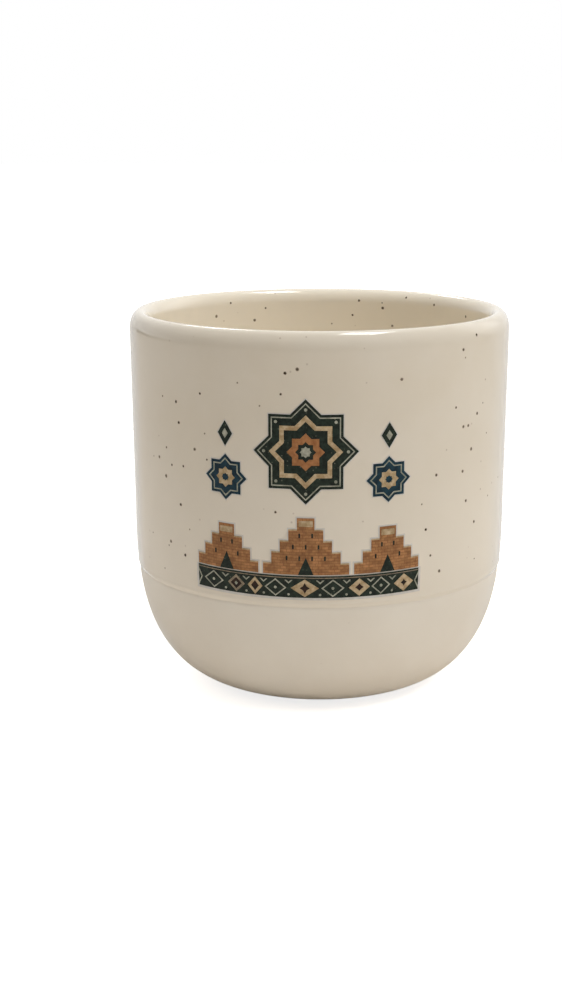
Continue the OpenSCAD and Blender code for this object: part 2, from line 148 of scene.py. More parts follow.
@dataclass(frozen=True)
class Bowl:
    """Rounded stretch of an outline, from a floor up to an upright side."""

    floor_r: float
    side_r: float
    floor_h: float
    side_h: float
    side_power: float = 2.0
    floor_power: float = 3.0

    def point(self, angle: float) -> Point:
        """Finds the point at an angle that grows from 0 at the floor to 90 at the side.

        Args:
            angle: Angle in degrees.

        Returns:
            Radius and height.
        """
        out = max(math.sin(math.radians(angle)), 0.0) ** (2 / self.side_power)
        down = max(math.cos(math.radians(angle)), 0.0) ** (2 / self.floor_power)
        return share_of(self.floor_r, self.side_r, out), share_of(self.side_h, self.floor_h, down)

    def angle_at_height(self, height: float) -> float:
        """Finds the angle of the point at a height.

        Args:
            height: Height of the point.

        Returns:
            Angle in degrees.
        """
        down = (self.side_h - height) / (self.side_h - self.floor_h)
        return math.degrees(math.acos(min(max(down, 0.0), 1.0) ** (self.floor_power / 2)))

    def angle_at_radius(self, radius: float) -> float:
        """Finds the angle of the point at a radius.

        Args:
            radius: Radius of the point.

        Returns:
            Angle in degrees.
        """
        out = (radius - self.floor_r) / (self.side_r - self.floor_r)
        return math.degrees(math.asin(out ** (self.side_power / 2)))

    def path(self, start: float, end: float, steps: int) -> Outline:
        """Lists points of the bowl between two angles.

        Args:
            start: First angle.
            end: Last angle.
            steps: Number of steps between the points.

        Returns:
            The points in order.
        """
        return [self.point(share_of(start, end, i / steps)) for i in range(steps + 1)]


def rounding(centre: Point, size: Point, start: float, end: float, steps: int = 26) -> Outline:
    """Lists points of a quarter of an ellipse, closest together where it levels out.

    Args:
        centre: Radius and height of the ellipse's centre.
        size: Half width and half height of the ellipse.
        start: First angle, 0 at the outside.
        end: Last angle.
        steps: Number of steps between the points.

    Returns:
        The points in order.
    """
    level = 90.0
    points = []
    for i in range(steps + 1):
        eased = math.sin(math.radians(90 * i / steps))
        if end != level:
            eased = 1 - math.sin(math.radians(90 * (1 - i / steps)))
        angle = math.radians(share_of(start, end, eased))
        points.append((
            centre[0] + size[0] * math.cos(angle),
            centre[1] + size[1] * math.sin(angle),
        ))
    return points


@dataclass(frozen=True)
class CupForm:
    """Sizes of the cup and the outlines that follow from them."""

    height: float
    radius: float
    wall: float = 3.7
    wall_taper: float = 0.34
    shoulder_h: float = 34.2
    lip_h: float = 3.3
    lip_in: float = 1.9
    lip_inner_h: float = 2.6
    floor_h: float = 5.0
    floor_r: float = 12.0
    foot_r: float = 17.0
    foot_w: float = 3.0
    foot_stand: float = 0.5
    foot_bevel: float = 0.4
    recess_h: float = 1.4
    wipe_w: float = 1.2
    base_margin: float = 0.8
    gloss_t: float = 0.4
    satin_t: float = 0.3
    liner_t: float = 0.35
    dip_h: float = 22.9
    edge_drop: float = 0.45
    edge_h: float = 1.4
    edge_out: float = 0.045
    edge_step: float = 0.008
    edge_belly: float = 0.6
    groove_h: float = 2.4
    groove_in: float = 0.07
    swell: float = 0.04
    oval_lean: float = 0.05
    oval_start: float = 0.9
    lobes: int = 3
    lobe_share: float = 0.6
    lobe_lean: float = 0.09

    @property
    def shoulder_r(self) -> float:
        """Radius where the bowl turns into the straight wall."""
        return self.radius - self.wall_taper

    @property
    def crest_r(self) -> float:
        """Radius of the crest of the lip."""
        return self.radius - self.lip_in

    @property
    def lip_start_h(self) -> float:
        """Height where the outer rounding of the lip starts."""
        return self.height - self.lip_h

    @property
    def inner_lip_h(self) -> float:
        """Height where the inner rounding of the lip starts."""
        return self.height - self.lip_inner_h

    @property
    def edge_low_h(self) -> float:
        """Height where the gloss glaze's rolled edge starts on the satin glaze."""
        return self.dip_h - self.edge_drop

    @property
    def edge_top_h(self) -> float:
        """Height of the top of the gloss glaze's rolled edge."""
        return self.edge_low_h + self.edge_h

    @property
    def clay_bowl(self) -> Bowl:
        """Bowl of the clay under the glazes."""
        return Bowl(
            self.foot_r - self.satin_t, self.shoulder_r - self.gloss_t,
            self.foot_stand + self.satin_t, self.shoulder_h,
        )

    @property
    def satin_bowl(self) -> Bowl:
        """Bowl of the satin glaze."""
        return Bowl(
            self.foot_r, self.shoulder_r - self.gloss_t + self.satin_t,
            self.foot_stand, self.shoulder_h,
        )

    @property
    def gloss_bowl(self) -> Bowl:
        """Bowl of the gloss glaze."""
        return Bowl(self.foot_r, self.shoulder_r, self.foot_stand, self.shoulder_h)

    @property
    def liner_bowl(self) -> Bowl:
        """Bowl of the glaze inside the cup."""
        return Bowl(self.floor_r, self.shoulder_r - self.wall, self.floor_h, self.shoulder_h)

    @property
    def inner_clay_bowl(self) -> Bowl:
        """Bowl of the clay under the inner glaze."""
        return Bowl(
            self.floor_r, self.shoulder_r - self.wall + self.liner_t,
            self.floor_h - self.liner_t, self.shoulder_h,
        )

    def glaze_radius(self, height: float) -> float:
        """Finds the radius of the gloss glaze outside.

        Args:
            height: Height between the rolled edge and the crest of the lip.

        Returns:
            The radius.
        """
        bowl = self.gloss_bowl
        if height < self.shoulder_h:
            return bowl.point(bowl.angle_at_height(height))[0]
        if height > self.lip_start_h:
            rise = (height - self.lip_start_h) / self.lip_h
            return self.crest_r + self.lip_in * math.sqrt(1 - rise * rise)
        climb = (height - self.shoulder_h) / (self.lip_start_h - self.shoulder_h)
        return share_of(self.shoulder_r, self.radius, climb)

    def liner_radius(self, height: float) -> float:
        """Finds the radius of the glaze inside, above the bowl.

        Args:
            height: Height between the shoulder and the crest of the lip.

        Returns:
            The radius.
        """
        if height < self.inner_lip_h:
            return self.glaze_radius(min(height, self.lip_start_h)) - self.wall
        rise = (height - self.inner_lip_h) / self.lip_inner_h
        return self.crest_r - (self.wall - self.lip_in) * math.sqrt(1 - rise * rise)

    def swelling(self, turn: float, height: float) -> float:
        """Finds how far the cup is out of round, since no fired clay is quite true.

        Args:
            turn: Angle round the cup.
            height: Height of the point.

        Returns:
            Change of radius, never outward.
        """
        angle = math.radians(turn)
        oval = math.sin(2 * angle + self.oval_lean * height + self.oval_start)
        lobes = self.lobe_share * math.sin(self.lobes * angle - self.lobe_lean * height)
        crest = 1 + self.lobe_share
        return self.swell * (oval + lobes - crest) / (2 * crest)

    def on_glaze(self, turn: float, height: float, lift: float) -> Vector:
        """Finds a point over the gloss glaze outside.

        Args:
            turn: Angle round the cup.
            height: Height of the point.
            lift: Distance outward from the glaze.

        Returns:
            The point in metres.
        """
        radius = self.glaze_radius(height) + self.swelling(turn, height) + lift
        return at(turn, radius, height)

    def clay_under_gloss(self) -> Outline:
        """Lists the clay's outline from the glaze line up to the crest.

        Returns:
            The points in order.
        """
        bowl = self.clay_bowl
        side = bowl.path(bowl.angle_at_height(self.dip_h), 90, SHORT_STEPS)
        lip = (self.lip_in - self.gloss_t, self.lip_h - self.liner_t)
        return side + rounding((self.crest_r, self.lip_start_h), lip, 0, 90)

    def clay_under_satin(self) -> Outline:
        """Lists the clay's outline from the wiped foot up to the glaze line.

        Returns:
            The points in order.
        """
        bowl = self.clay_bowl
        start = bowl.angle_at_radius(self.foot_r + self.wipe_w)
        return bowl.path(start, bowl.angle_at_height(self.dip_h), LONG_STEPS)

    def clay_under_liner(self) -> Outline:
        """Lists the clay's outline from the crest down to the middle of the floor.

        Returns:
            The points in order.
        """
        lip = (self.wall - self.lip_in - self.liner_t, self.lip_inner_h - self.liner_t)
        side = self.inner_clay_bowl.path(90, 0, LONG_STEPS)
        middle = (0.0, self.floor_h - self.liner_t)
        return [*rounding((self.crest_r, self.inner_lip_h), lip, 90, 180), *side, middle]


def form_from_frame() -> CupForm:
    """Measures the cup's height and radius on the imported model.

    Returns:
        The cup's form.
    """
    low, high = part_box("gloss_glaze")
    return CupForm(height=high.z / MM, radius=(high.x - low.x) / 2 / MM)


def at(turn: float, radius: float, height: float) -> Vector:
    """Finds a point from its place round the cup.

    Args:
        turn: Angle round the cup.
        radius: Distance from the cup's axis.
        height: Height over the table.

    Returns:
        The point in metres.
    """
    angle = math.radians(turn)
    return Vector((radius * math.sin(angle), -radius * math.cos(angle), height)) * MM


# Meshes


def finish_mesh(name: str, points: list[Vector], faces: list[tuple[int, ...]]) -> bpy.types.Object:
    """Makes a smooth-shaded object from points and faces.

    Args:
        name: Name of the piece.
        points: Corners in metres.
        faces: Corner numbers of each face.

    Returns:
        The new object.
    """
    mesh = bpy.data.meshes.new(name)
    mesh.from_pydata(points, [], faces)
    mesh.validate()
    mesh.shade_smooth()
    mesh.set_sharp_from_angle(angle=SHARP_ANGLE)
    piece = bpy.data.objects.new(name, mesh)
    bpy.context.scene.collection.objects.link(piece)
    return piece


def lathe(name: str, outline: Outline, form: CupForm, sides: int = 384) -> bpy.types.Object:
    """Turns a closed outline round the cup's axis, with the cup's slight swelling.

    Args:
        name: Name of the piece.
        outline: Radius and height of each point, anticlockwise with the axis on the left.
        form: The cup's form, for its swelling.
        sides: Number of sides round the axis.

    Returns:
        The turned piece.
    """
    points: list[Vector] = []
    rows: list[list[int]] = []
    for radius, height in outline:
        if radius < SAME_SPOT:
            rows.append([len(points)] * sides)
            points.append(at(0, 0, height))
            continue
        rows.append(list(range(len(points), len(points) + sides)))
        for i in range(sides):
            turn = 360 * i / sides
            sway = form.swelling(turn, height) * min(1.0, radius / form.foot_r)
            points.append(at(turn, radius + sway, height))
    faces = []
    for row, above in zip(rows, rows[1:] + rows[:1]):
        for i in range(sides):
            j = (i + 1) % sides
            corners = tuple(dict.fromkeys((row[i], row[j], above[j], above[i])))
            if len(corners) > 2:
                faces.append(corners)
    return finish_mesh(name, points, faces)


@dataclass
class FlatFigure:
    """Flat outline of a printed figure, in millimetres along and up the wall."""

    patches: list[Outline] = field(default_factory=list)

    def fill(self, outline: Outline) -> None:
        """Adds a filled outline."""
        self.patches.append(outline)

    def ring(self, outer: Outline, inner: Outline) -> None:
        """Adds the strip between two outlines with as many points each.

        Args:
            outer: Outer outline.
            inner: Inner outline.
        """
        count = len(outer)
        for i in range(count):
            j = (i + 1) % count
            self.patches.append([outer[i], outer[j], inner[j], inner[i]])


Figures = defaultdict[str, FlatFigure]


def moved(outline: Outline, arc: float, height: float) -> Outline:
    """Moves an outline along and up the wall."""
    return [(x + arc, y + height) for x, y in outline]


def rectangle(left: float, right: float, low: float, high: float) -> Outline:
    """Lists the corners of a rectangle."""
    return [(left, low), (right, low), (right, high), (left, high)]


def lozenge(half_w: float, half_h: float) -> Outline:
    """Lists the corners of a lozenge round the origin."""
    return [(half_w, 0.0), (0.0, half_h), (-half_w, 0.0), (0.0, -half_h)]


def disc(radius: float, sides: int = 24) -> Outline:
    """Lists the corners of a disc round the origin."""
    return pointed(radius, radius, sides)


def pointed(reach: float, waist: float, corners: int, start: float = 90.0) -> Outline:
    """Lists the corners of a star round the origin.

    Args:
        reach: Radius of its points.
        waist: Radius of the corners between them.
        corners: Number of corners, points and waists together.
        start: Angle of the first point.

    Returns:
        The corners, anticlockwise.
    """
    outline = []
    for i in range(corners):
        radius = reach if i % 2 == 0 else waist
        angle = math.radians(start + 360 * i / corners)
        outline.append((radius * math.cos(angle), radius * math.sin(angle)))
    return outline


# Shader effects that the finishes share


class Effect(Enum):
    """Shader effects that several finishes use, each one a node group."""

    CLOUDING = "soft_clouding"
    PIN_SPECKS = "pin_specks"
    PEEL = "glaze_peel"
    MOTTLE = "ink_mottle"


class Sheet:
    """Lays out the nodes of one shader tree from left to right."""

    def __init__(self, tree: bpy.types.NodeTree) -> None:
        """Starts on a tree, from its left edge."""
        self.tree = tree
        self.column = 0

    def add(self, kind: str, settings: dict[str, object] | None = None,
            **sockets: object) -> bpy.types.Node:
        """Adds a node and fills its sockets with values or links.

        Args:
            kind: Blender's name for the kind of node.
            settings: Properties of the node itself.
            sockets: Input sockets by name, with an underscore for each space.

        Returns:
            The new node.
        """
        node = self.tree.nodes.new(kind)
        node.location = (self.column * NODE_STEP, 0)
        self.column += 1
        for name, value in (settings or {}).items():
            setattr(node, name, value)
        for name, value in sockets.items():
            self.feed(node.inputs[name.replace("_", " ")], value)
        return node

    def feed(self, socket: Socket, value: object) -> None:
        """Links another node's output to a socket, or sets a value on it.

        Args:
            socket: The input socket.
            value: An output socket, or a plain value.
        """
        if isinstance(value, Socket):
            self.tree.links.new(value, socket)
        else:
            socket.default_value = value

    def math(self, operation: str, first: object, second: object = 0.0) -> Socket:
        """Adds one step of arithmetic.

        Args:
            operation: Blender's name of the operation.
            first: First value or output socket.
            second: Second value or output socket.

        Returns:
            The result's socket.
        """
        node = self.add("ShaderNodeMath", {"operation": operation})
        self.feed(node.inputs[0], first)
        self.feed(node.inputs[1], second)
        return node.outputs[0]

    def spread(self, value: object, low: float, high: float, to_low: object = 0.0,
               to_high: object = 1.0, smooth: bool = False) -> Socket:
        """Spreads a range of values over another range, held at its ends.

        Args:
            value: The output socket to read.
            low: Value that becomes to_low.
            high: Value that becomes to_high.
            to_low: Start of the new range, a number or an output socket.
            to_high: End of the new range, a number or an output socket.
            smooth: Whether the change eases in and out.

        Returns:
            The result's socket.
        """
        kind = "SMOOTHSTEP" if smooth else "LINEAR"
        node = self.add("ShaderNodeMapRange", {"interpolation_type": kind, "clamp": True})
        for name, number in (
            ("Value", value), ("From Min", low), ("From Max", high),
            ("To Min", to_low), ("To Max", to_high),
        ):
            self.feed(node.inputs[name], number)
        return node.outputs["Result"]

    def place(self) -> Socket:
        """Gives the place on the object, in metres."""
        return self.add("ShaderNodeTexCoord").outputs["Object"]

    def axes(self) -> bpy.types.bpy_prop_collection:
        """Splits the place on the object into its X, Y and Z."""
        return self.add("ShaderNodeSeparateXYZ", Vector=self.place()).outputs

    def axis_distance(self) -> Socket:
        """Measures the distance from the cup's axis.

        Returns:
            The distance's socket, in metres.
        """
        axes = self.axes()
        squares = [self.math("POWER", axes[axis], 2.0) for axis in ("X", "Y")]
        return self.math("SQRT", self.math("ADD", *squares))

    def blend(self, mask: object, first: object, second: object) -> Socket:
        """Mixes two colours by a mask.

        Args:
            mask: Output socket that is 0 for the first colour and 1 for the second.
            first: Colour or output socket.
            second: Colour or output socket.

        Returns:
            The mixed colour's socket.
        """
        node = self.add("ShaderNodeMix", {"data_type": "RGBA"}, Factor=mask)
        for number, colour in ((MIX_FIRST, first), (MIX_SECOND, second)):
            value = colour if isinstance(colour, Socket) else (*colour, 1.0)
            self.feed(node.inputs[number], value)
        return node.outputs[MIX_RESULT]

    def bump(self, heights: Socket, relief: float) -> Socket:
        """Turns heights from 0 to 1 into normals, for a relief in millimetres."""
        return self.add("ShaderNodeBump", Height=heights, Distance=relief * MM).outputs[0]

    def effect(self, effect: Effect, **values: float) -> Socket:
        """Places a shared effect with values of its own.

        Args:
            effect: The effect.
            values: The effect's inputs by name.

        Returns:
            The effect's output socket.
        """
        node = self.add("ShaderNodeGroup", {"node_tree": effect_group(effect)}, **values)
        return node.outputs[0]


def open_group(tree: bpy.types.NodeTree, inputs: dict[str, float],
               output: str) -> tuple[Sheet, bpy.types.bpy_prop_collection]:
    """Gives a node group its sockets.

    Args:
        tree: The group's tree.
        inputs: Names and first values of its inputs.
        output: Name of its one output.

    Returns:
        A sheet on the tree, and the sockets that its inputs come from.
    """
    for name, value in inputs.items():
        socket = tree.interface.new_socket(
            name, in_out="INPUT", socket_type="NodeSocketFloat")
        socket.default_value = value
    tree.interface.new_socket(output, in_out="OUTPUT", socket_type="NodeSocketFloat")
    sheet = Sheet(tree)
    return sheet, sheet.add("NodeGroupInput").outputs


def close_group(sheet: Sheet, value: Socket) -> None:
    """Sends a group's result to its output."""
    sheet.feed(sheet.add("NodeGroupOutput").inputs[0], value)


@dataclass(frozen=True)
class NoiseEffect:
    """An effect of soft noise, such as clouds of tone, with Scale per metre."""

    output: str
    scale: float
    detail: float
    roughness: float
    contrast: Point | None = None

    def build(self, tree: bpy.types.NodeTree) -> None:
        """Fills the effect's node group.

        Args:
            tree: The group's tree.
        """
        sheet, given = open_group(tree, {"Scale": self.scale}, self.output)
        noise = sheet.add(
            "ShaderNodeTexNoise", Vector=sheet.place(), Scale=given["Scale"],
            Detail=self.detail, Roughness=self.roughness,
        )
        value = noise.outputs["Fac"]
        if self.contrast:
            value = sheet.spread(value, *self.contrast, smooth=True)
        close_group(sheet, value)


@dataclass(frozen=True)
class SpeckEffect:
    """An effect of faint pin-prick specks: Spread per metre, Radius and Share from 0 to 1."""

    output: str = "Mask"
    spread: float = 500.0
    radius: float = 0.12
    share: float = 0.3
    core_share: float = 0.35
    faintest: float = 0.35

    def build(self, tree: bpy.types.NodeTree) -> None:
        """Fills the effect's node group.

        Args:
            tree: The group's tree.
        """
        inputs = {"Spread": self.spread, "Radius": self.radius, "Share": self.share}
        sheet, given = open_group(tree, inputs, self.output)
        cells = sheet.add("ShaderNodeTexVoronoi", Vector=sheet.place(), Scale=given["Spread"])
        draw = sheet.add("ShaderNodeSeparateColor", Color=cells.outputs["Color"]).outputs
        chosen = sheet.math("LESS_THAN", draw["Red"], given["Share"])
        reach = sheet.math("DIVIDE", cells.outputs["Distance"], given["Radius"])
        dot = sheet.spread(reach, 1.0, self.core_share, smooth=True)
        strength = sheet.spread(draw["Green"], 0.0, 1.0, self.faintest)
        close_group(sheet, sheet.math("MULTIPLY", sheet.math("MULTIPLY", dot, chosen), strength))


EFFECTS: dict[Effect, NoiseEffect | SpeckEffect] = {
    Effect.CLOUDING: NoiseEffect("Cloud", 60.0, detail=3.0, roughness=0.55, contrast=(0.3, 0.7)),
    Effect.PIN_SPECKS: SpeckEffect(),
    Effect.PEEL: NoiseEffect("Height", 220.0, detail=2.0, roughness=0.5),
    Effect.MOTTLE: NoiseEffect("Mottle", 900.0, detail=5.0, roughness=0.65, contrast=(0.32, 0.68)),
}


def effect_group(effect: Effect) -> bpy.types.NodeTree:
    """Gives an effect's node group, and builds it at its first use.

    Args:
        effect: The effect.

    Returns:
        Its node group.
    """
    tree = bpy.data.node_groups.get(effect.value)
    if tree is None:
        tree = bpy.data.node_groups.new(effect.value, "ShaderNodeTree")
        EFFECTS[effect].build(tree)
    return tree


# Finishes


def new_material(name: str) -> tuple[bpy.types.Material, Sheet]:
    """Makes an empty material.

    Args:
        name: Name of the material.

    Returns:
        The material, and a sheet on its tree.
    """
    material = bpy.data.materials.new(name)
    material.use_nodes = True
    material.node_tree.nodes.clear()
    return material, Sheet(material.node_tree)


def close_material(sheet: Sheet, surface: bpy.types.Node) -> None:
    """Sends a shader to the material's output."""
    sheet.add("ShaderNodeOutputMaterial", Surface=surface.outputs[0])


@dataclass(frozen=True)
class Finish:
    """A finish of the cup, which makes one material."""

    name: str

    def sockets(self, sheet: Sheet) -> dict[str, object]:
        """Lists what the finish sends to its Principled shader.

        Args:
            sheet: Sheet of the material.

        Returns:
            Values and output sockets by input socket, with an underscore for each space.
        """
        raise NotImplementedError

    def material(self) -> bpy.types.Material:
        """Makes the finish's material.

        Returns:
            The material.
        """
        material, sheet = new_material(self.name)
        close_material(sheet, sheet.add("ShaderNodeBsdfPrincipled", **self.sockets(sheet)))
        return material


@dataclass(frozen=True)
class Glaze(Finish):
    """A fired glaze: its tone, its clouds, its sheen and its faint specks."""

    tone: str
    cloud_tone: str
    speck_tone: str
    rough_low: float
    rough_high: float
    speck_strength: float
    peel_h: float = 0.02
    cloud_scale: float = 70.0
    peel_scale: float = 240.0
    speck_spread: float = 420.0
    speck_radius: float = 0.11
    speck_share: float = 0.35
    # Paler tone painted inside the cup as painted light on the inner wall, and the radii between
    # which it comes in.
    painted_inside_light_tone: str = ""
    inner_r: Point = (33.4, 31.6)
    # Paler tone painted low on the wall as painted floor-bounce light, and the heights where it
    # starts and where it is full.
    painted_bounce_tone: str = ""
    painted_bounce_h: Point = (56.0, 26.0)

    def toned(self, sheet: Sheet, cloud: Socket) -> Socket:
        """Mixes the glaze's tone, with painted light: paler towards the foot of the wall and
        inside the cup.

        Args:
            sheet: Sheet of the material.
            cloud: Mask of its clouds.

        Returns:
            The colour's socket.
        """
        tone = sheet.blend(cloud, linear(self.tone), linear(self.cloud_tone))
        # Painted floor-bounce light: the mask below rises from the upper wall to the foot and
        # mixes in a paler tone.
        if self.painted_bounce_tone:
            top, foot = (height * MM for height in self.painted_bounce_h)
            thick = sheet.spread(sheet.axes()["Z"], top, foot, smooth=True)
            tone = sheet.blend(thick, tone, linear(self.painted_bounce_tone))
        # Painted light on the inner wall: the tone grows paler past the crest, inside the cup.
        if self.painted_inside_light_tone:
            crest, inside = (radius * MM for radius in self.inner_r)
            painted_inside_mask = sheet.spread(sheet.axis_distance(), crest, inside, smooth=True)
            tone = sheet.blend(painted_inside_mask, tone, linear(self.painted_inside_light_tone))
        return tone

    def sockets(self, sheet: Sheet) -> dict[str, object]:
        """Lists what the glaze sends to its Principled shader.

        Args:
            sheet: Sheet of the material.

        Returns:
            Values and output sockets by input socket.
        """
        cloud = sheet.effect(Effect.CLOUDING, Scale=self.cloud_scale)
        pins = sheet.effect(
            Effect.PIN_SPECKS, Spread=self.speck_spread, Radius=self.speck_radius,
            Share=self.speck_share,
        )
        mask = sheet.math("MULTIPLY", pins, self.speck_strength)
        skin = sheet.effect(Effect.PEEL, Scale=self.peel_scale)
        return {
            "Base_Color": sheet.blend(mask, self.toned(sheet, cloud), linear(self.speck_tone)),
            "Roughness": sheet.spread(cloud, 0.0, 1.0, self.rough_low, self.rough_high),
            "Normal": sheet.bump(skin, self.peel_h),
        }


@dataclass(frozen=True)
class BareClay(Finish):
    """Unglazed clay of the foot ring."""

    tone: str
    dark_tone: str
    roughness: float = 0.9
    grain_scale: float = 900.0
    grain_h: float = 0.12

    def sockets(self, sheet: Sheet) -> dict[str, object]:
        """Lists what the clay sends to its Principled shader.

        Args:
            sheet: Sheet of the material.

        Returns:
            Values and output sockets by input socket.
        """
        grain = sheet.effect(Effect.MOTTLE, Scale=self.grain_scale)
        return {
            "Base_Color": sheet.blend(grain, linear(self.tone), linear(self.dark_tone)),
            "Roughness": self.roughness,
            "Normal": sheet.bump(grain, self.grain_h),
        }


@dataclass(frozen=True)
class IronSpeck(Finish):
    """Brown iron melted into the glaze, fading into it at its rim."""

    rim_tone: str
    tone: str
    roughness: float = 0.25
    mirror: float = 0.25

    def sockets(self, sheet: Sheet) -> dict[str, object]:
        """Lists what the iron sends to its Principled shader.

        Args:
            sheet: Sheet of the material.

        Returns:
            Values and output sockets by input socket.
        """
        brown = sheet.add("ShaderNodeAttribute", {"attribute_name": BROWN_MARK}).outputs["Fac"]
        return {
            "Base_Color": sheet.blend(brown, linear(self.rim_tone), linear(self.tone)),
            "Roughness": self.roughness,
            "Specular_IOR_Level": self.mirror,
        }


@dataclass(frozen=True)
class PrintInk(Finish):
    """A printed ink with broken tone, as a painted transfer has."""

    tone: str
    broken_tone: str
    roughness: float = 0.36
    mirror: float = 0.2
    grain_scale: float = 900.0
    skin_scale: float = 600.0
    skin_h: float = 0.02
    fleck_tone: str = "9a9a88"
    fleck_strength: float = 0.0
    fleck_spread: float = 1900.0
    fleck_radius: float = 0.3
    fleck_share: float = 0.3

    def toned(self, sheet: Sheet) -> Socket:
        """Mixes the ink's two tones and its flecks.

        Args:
            sheet: Sheet of the material.

        Returns:
            The colour's socket.
        """
        grain = sheet.effect(Effect.MOTTLE, Scale=self.grain_scale)
        tone = sheet.blend(grain, linear(self.tone), linear(self.broken_tone))
        if not self.fleck_strength:
            return tone
        flecks = sheet.effect(
            Effect.PIN_SPECKS, Spread=self.fleck_spread, Radius=self.fleck_radius,
            Share=self.fleck_share,
        )
        mask = sheet.math("MULTIPLY", flecks, self.fleck_strength)
        return sheet.blend(mask, tone, linear(self.fleck_tone))

    def sockets(self, sheet: Sheet) -> dict[str, object]:
        """Lists what the ink sends to its Principled shader.

        Args:
            sheet: Sheet of the material.

        Returns:
            Values and output sockets by input socket.
        """
        skin = sheet.effect(Effect.PEEL, Scale=self.skin_scale)
        return {
            "Base_Color": self.toned(sheet),
            "Roughness": self.roughness,
            "Specular_IOR_Level": self.mirror,
            "Normal": sheet.bump(skin, self.skin_h),
        }


@dataclass(frozen=True)
class CoursedInk(PrintInk):
    """Ink painted as courses of small blocks."""

    joint_tone: str = "6b4a2e"
    block_w: float = 1.1
    course_h: float = 0.5
    joint_w: float = 0.05
    joint_blur: float = 0.6
    block_shade: float = 0.55
    depth: float = 0.75

    def toned(self, sheet: Sheet) -> Socket:
        """Draws the blocks over the broken ink.

        Args:
            sheet: Sheet of the material.

        Returns:
            The colour's socket.
        """
        base = super().toned(sheet)
        place = sheet.add("ShaderNodeAttribute", {"attribute_name": PLACE_MARK})
        shade = (self.block_shade, self.block_shade, self.block_shade, 1.0)
        blocks = sheet.add(
            "ShaderNodeTexBrick", Vector=place.outputs["Vector"], Scale=1.0,
            Color1=BLACK, Color2=shade, Mortar=WHITE,
            Mortar_Size=self.joint_w, Mortar_Smooth=self.joint_blur,
            Brick_Width=self.block_w, Row_Height=self.course_h,
        )
        mask = sheet.math("MULTIPLY", blocks.outputs["Color"], self.depth)
        return sheet.blend(mask, base, linear(self.joint_tone))


class Ink(Enum):
    """Inks and film of the fired print, each by the name of its finish in the set."""

    FILM = "film"
    GREEN = "green"
    UMBER = "umber"
    DUN = "dun"
    NAVY = "navy"
    STONE = "stone"
    TERRACOTTA = "terracotta"
    PALE = "pale"
    SAND = "sand"


Inks = dict[Ink, bpy.types.Material]


@dataclass(frozen=True)
class FinishSet:
    """Every finish of the cup."""

    gloss: Glaze = Glaze(
        "gloss_glaze", tone="e7ddcc", cloud_tone="e4d9c6", speck_tone="8a6a4c",
        rough_low=0.06, rough_high=0.10, speck_strength=0.5,
        # The inside tone is painted light on the inner wall, and the lower tone is painted
        # floor-bounce light on the lower wall.
        painted_inside_light_tone="f6ecd9", painted_bounce_tone="ede3d2",
    )
    satin: Glaze = Glaze(
        "satin_glaze", tone="f1e9db", cloud_tone="eee5d6", speck_tone="b39c80",
        rough_low=0.34, rough_high=0.42, speck_strength=0.12,
    )
    clay: BareClay = BareClay("bare_clay", tone="cdb899", dark_tone="b39a78")
    speck: IronSpeck = IronSpeck("iron_speck", rim_tone="dccbb3", tone="2a180d")
    # Its rim tone is lighter than the outer speck's to match the painted light on the glaze
    # inside.
    inner_speck: IronSpeck = IronSpeck("inner_iron_speck", rim_tone="ebdfc9", tone="3a2413")
    film: PrintInk = PrintInk("print_film", "dcd8d2", "d3cdc4", roughness=0.2)
    green: PrintInk = PrintInk(
        "print_green", "0f1812", "26342a", grain_scale=1300.0, fleck_strength=0.4)
    umber: PrintInk = PrintInk("print_umber", "1a130e", "3d2417", grain_scale=1300.0)
    dun: PrintInk = PrintInk("print_dun", "a3937b", "74695a", grain_scale=1300.0)
    navy: PrintInk = PrintInk("print_navy", "0b2430", "193e4d")
    stone: CoursedInk = CoursedInk("print_terracotta", "c48b5a", "9a6a42")
    terracotta: PrintInk = PrintInk("print_heart", "b47d50", "93623b")
    pale: PrintInk = PrintInk("print_pale", "bcbbaa", "8a8b7b")
    sand: PrintInk = PrintInk("print_sand", "d0bb98", "a88c66")

    def inks(self) -> Inks:
        """Makes the materials of the print."""
        return {ink: getattr(self, ink.value).material() for ink in Ink}


def dress(piece: bpy.types.Object, material: bpy.types.Material, slot: Slot,
          *nodes: str) -> None:
    """Gives a piece its finish and body, and hides the CAD nodes that it stands for.

    Args:
        piece: The piece.
        material: Its material.
        slot: Its slot in the record; not used.
        nodes: The CAD nodes that it replaces.
    """
    piece.data.materials.clear()
    piece.data.materials.append(material)
    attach(piece, BODY)
    if nodes:
        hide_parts(*nodes)
    log.info("%s: %d faces", piece.name, len(piece.data.polygons))


# Sub-assemblies


@dataclass(frozen=True)
class StonewareBody:
    """The clay of the cup, which shows only round the foot."""

    form: CupForm
    wiped_steps: int = 6

    def outline(self) -> Outline:
        """Lists the clay's outline from the hollow of the foot round to the floor inside.

        Returns:
            The points in order.
        """
        form = self.form
        inner_r, bevel = form.foot_r - form.foot_w, form.foot_bevel
        ring = [
            (0.0, form.recess_h), (inner_r, form.recess_h), (inner_r, bevel),
            (inner_r + bevel, 0.0), (form.foot_r - bevel, 0.0), (form.foot_r, bevel),
        ]
        bowl = form.clay_bowl
        start, end = (bowl.angle_at_radius(form.foot_r + reach) for reach in (0.0, form.wipe_w))
        return [
            *ring, *bowl.path(start, end, self.wiped_steps), *form.clay_under_satin()[1:],
            *form.clay_under_gloss()[1:], *form.clay_under_liner()[1:],
        ]

    def build(self, finishes: FinishSet) -> None:
        """Turns and dresses the clay.

        Args:
            finishes: The cup's finishes.
        """
        body = lathe("stoneware_clay", self.outline(), self.form)
        dress(body, finishes.clay.material(), Slot.STONEWARE, "stoneware_body")


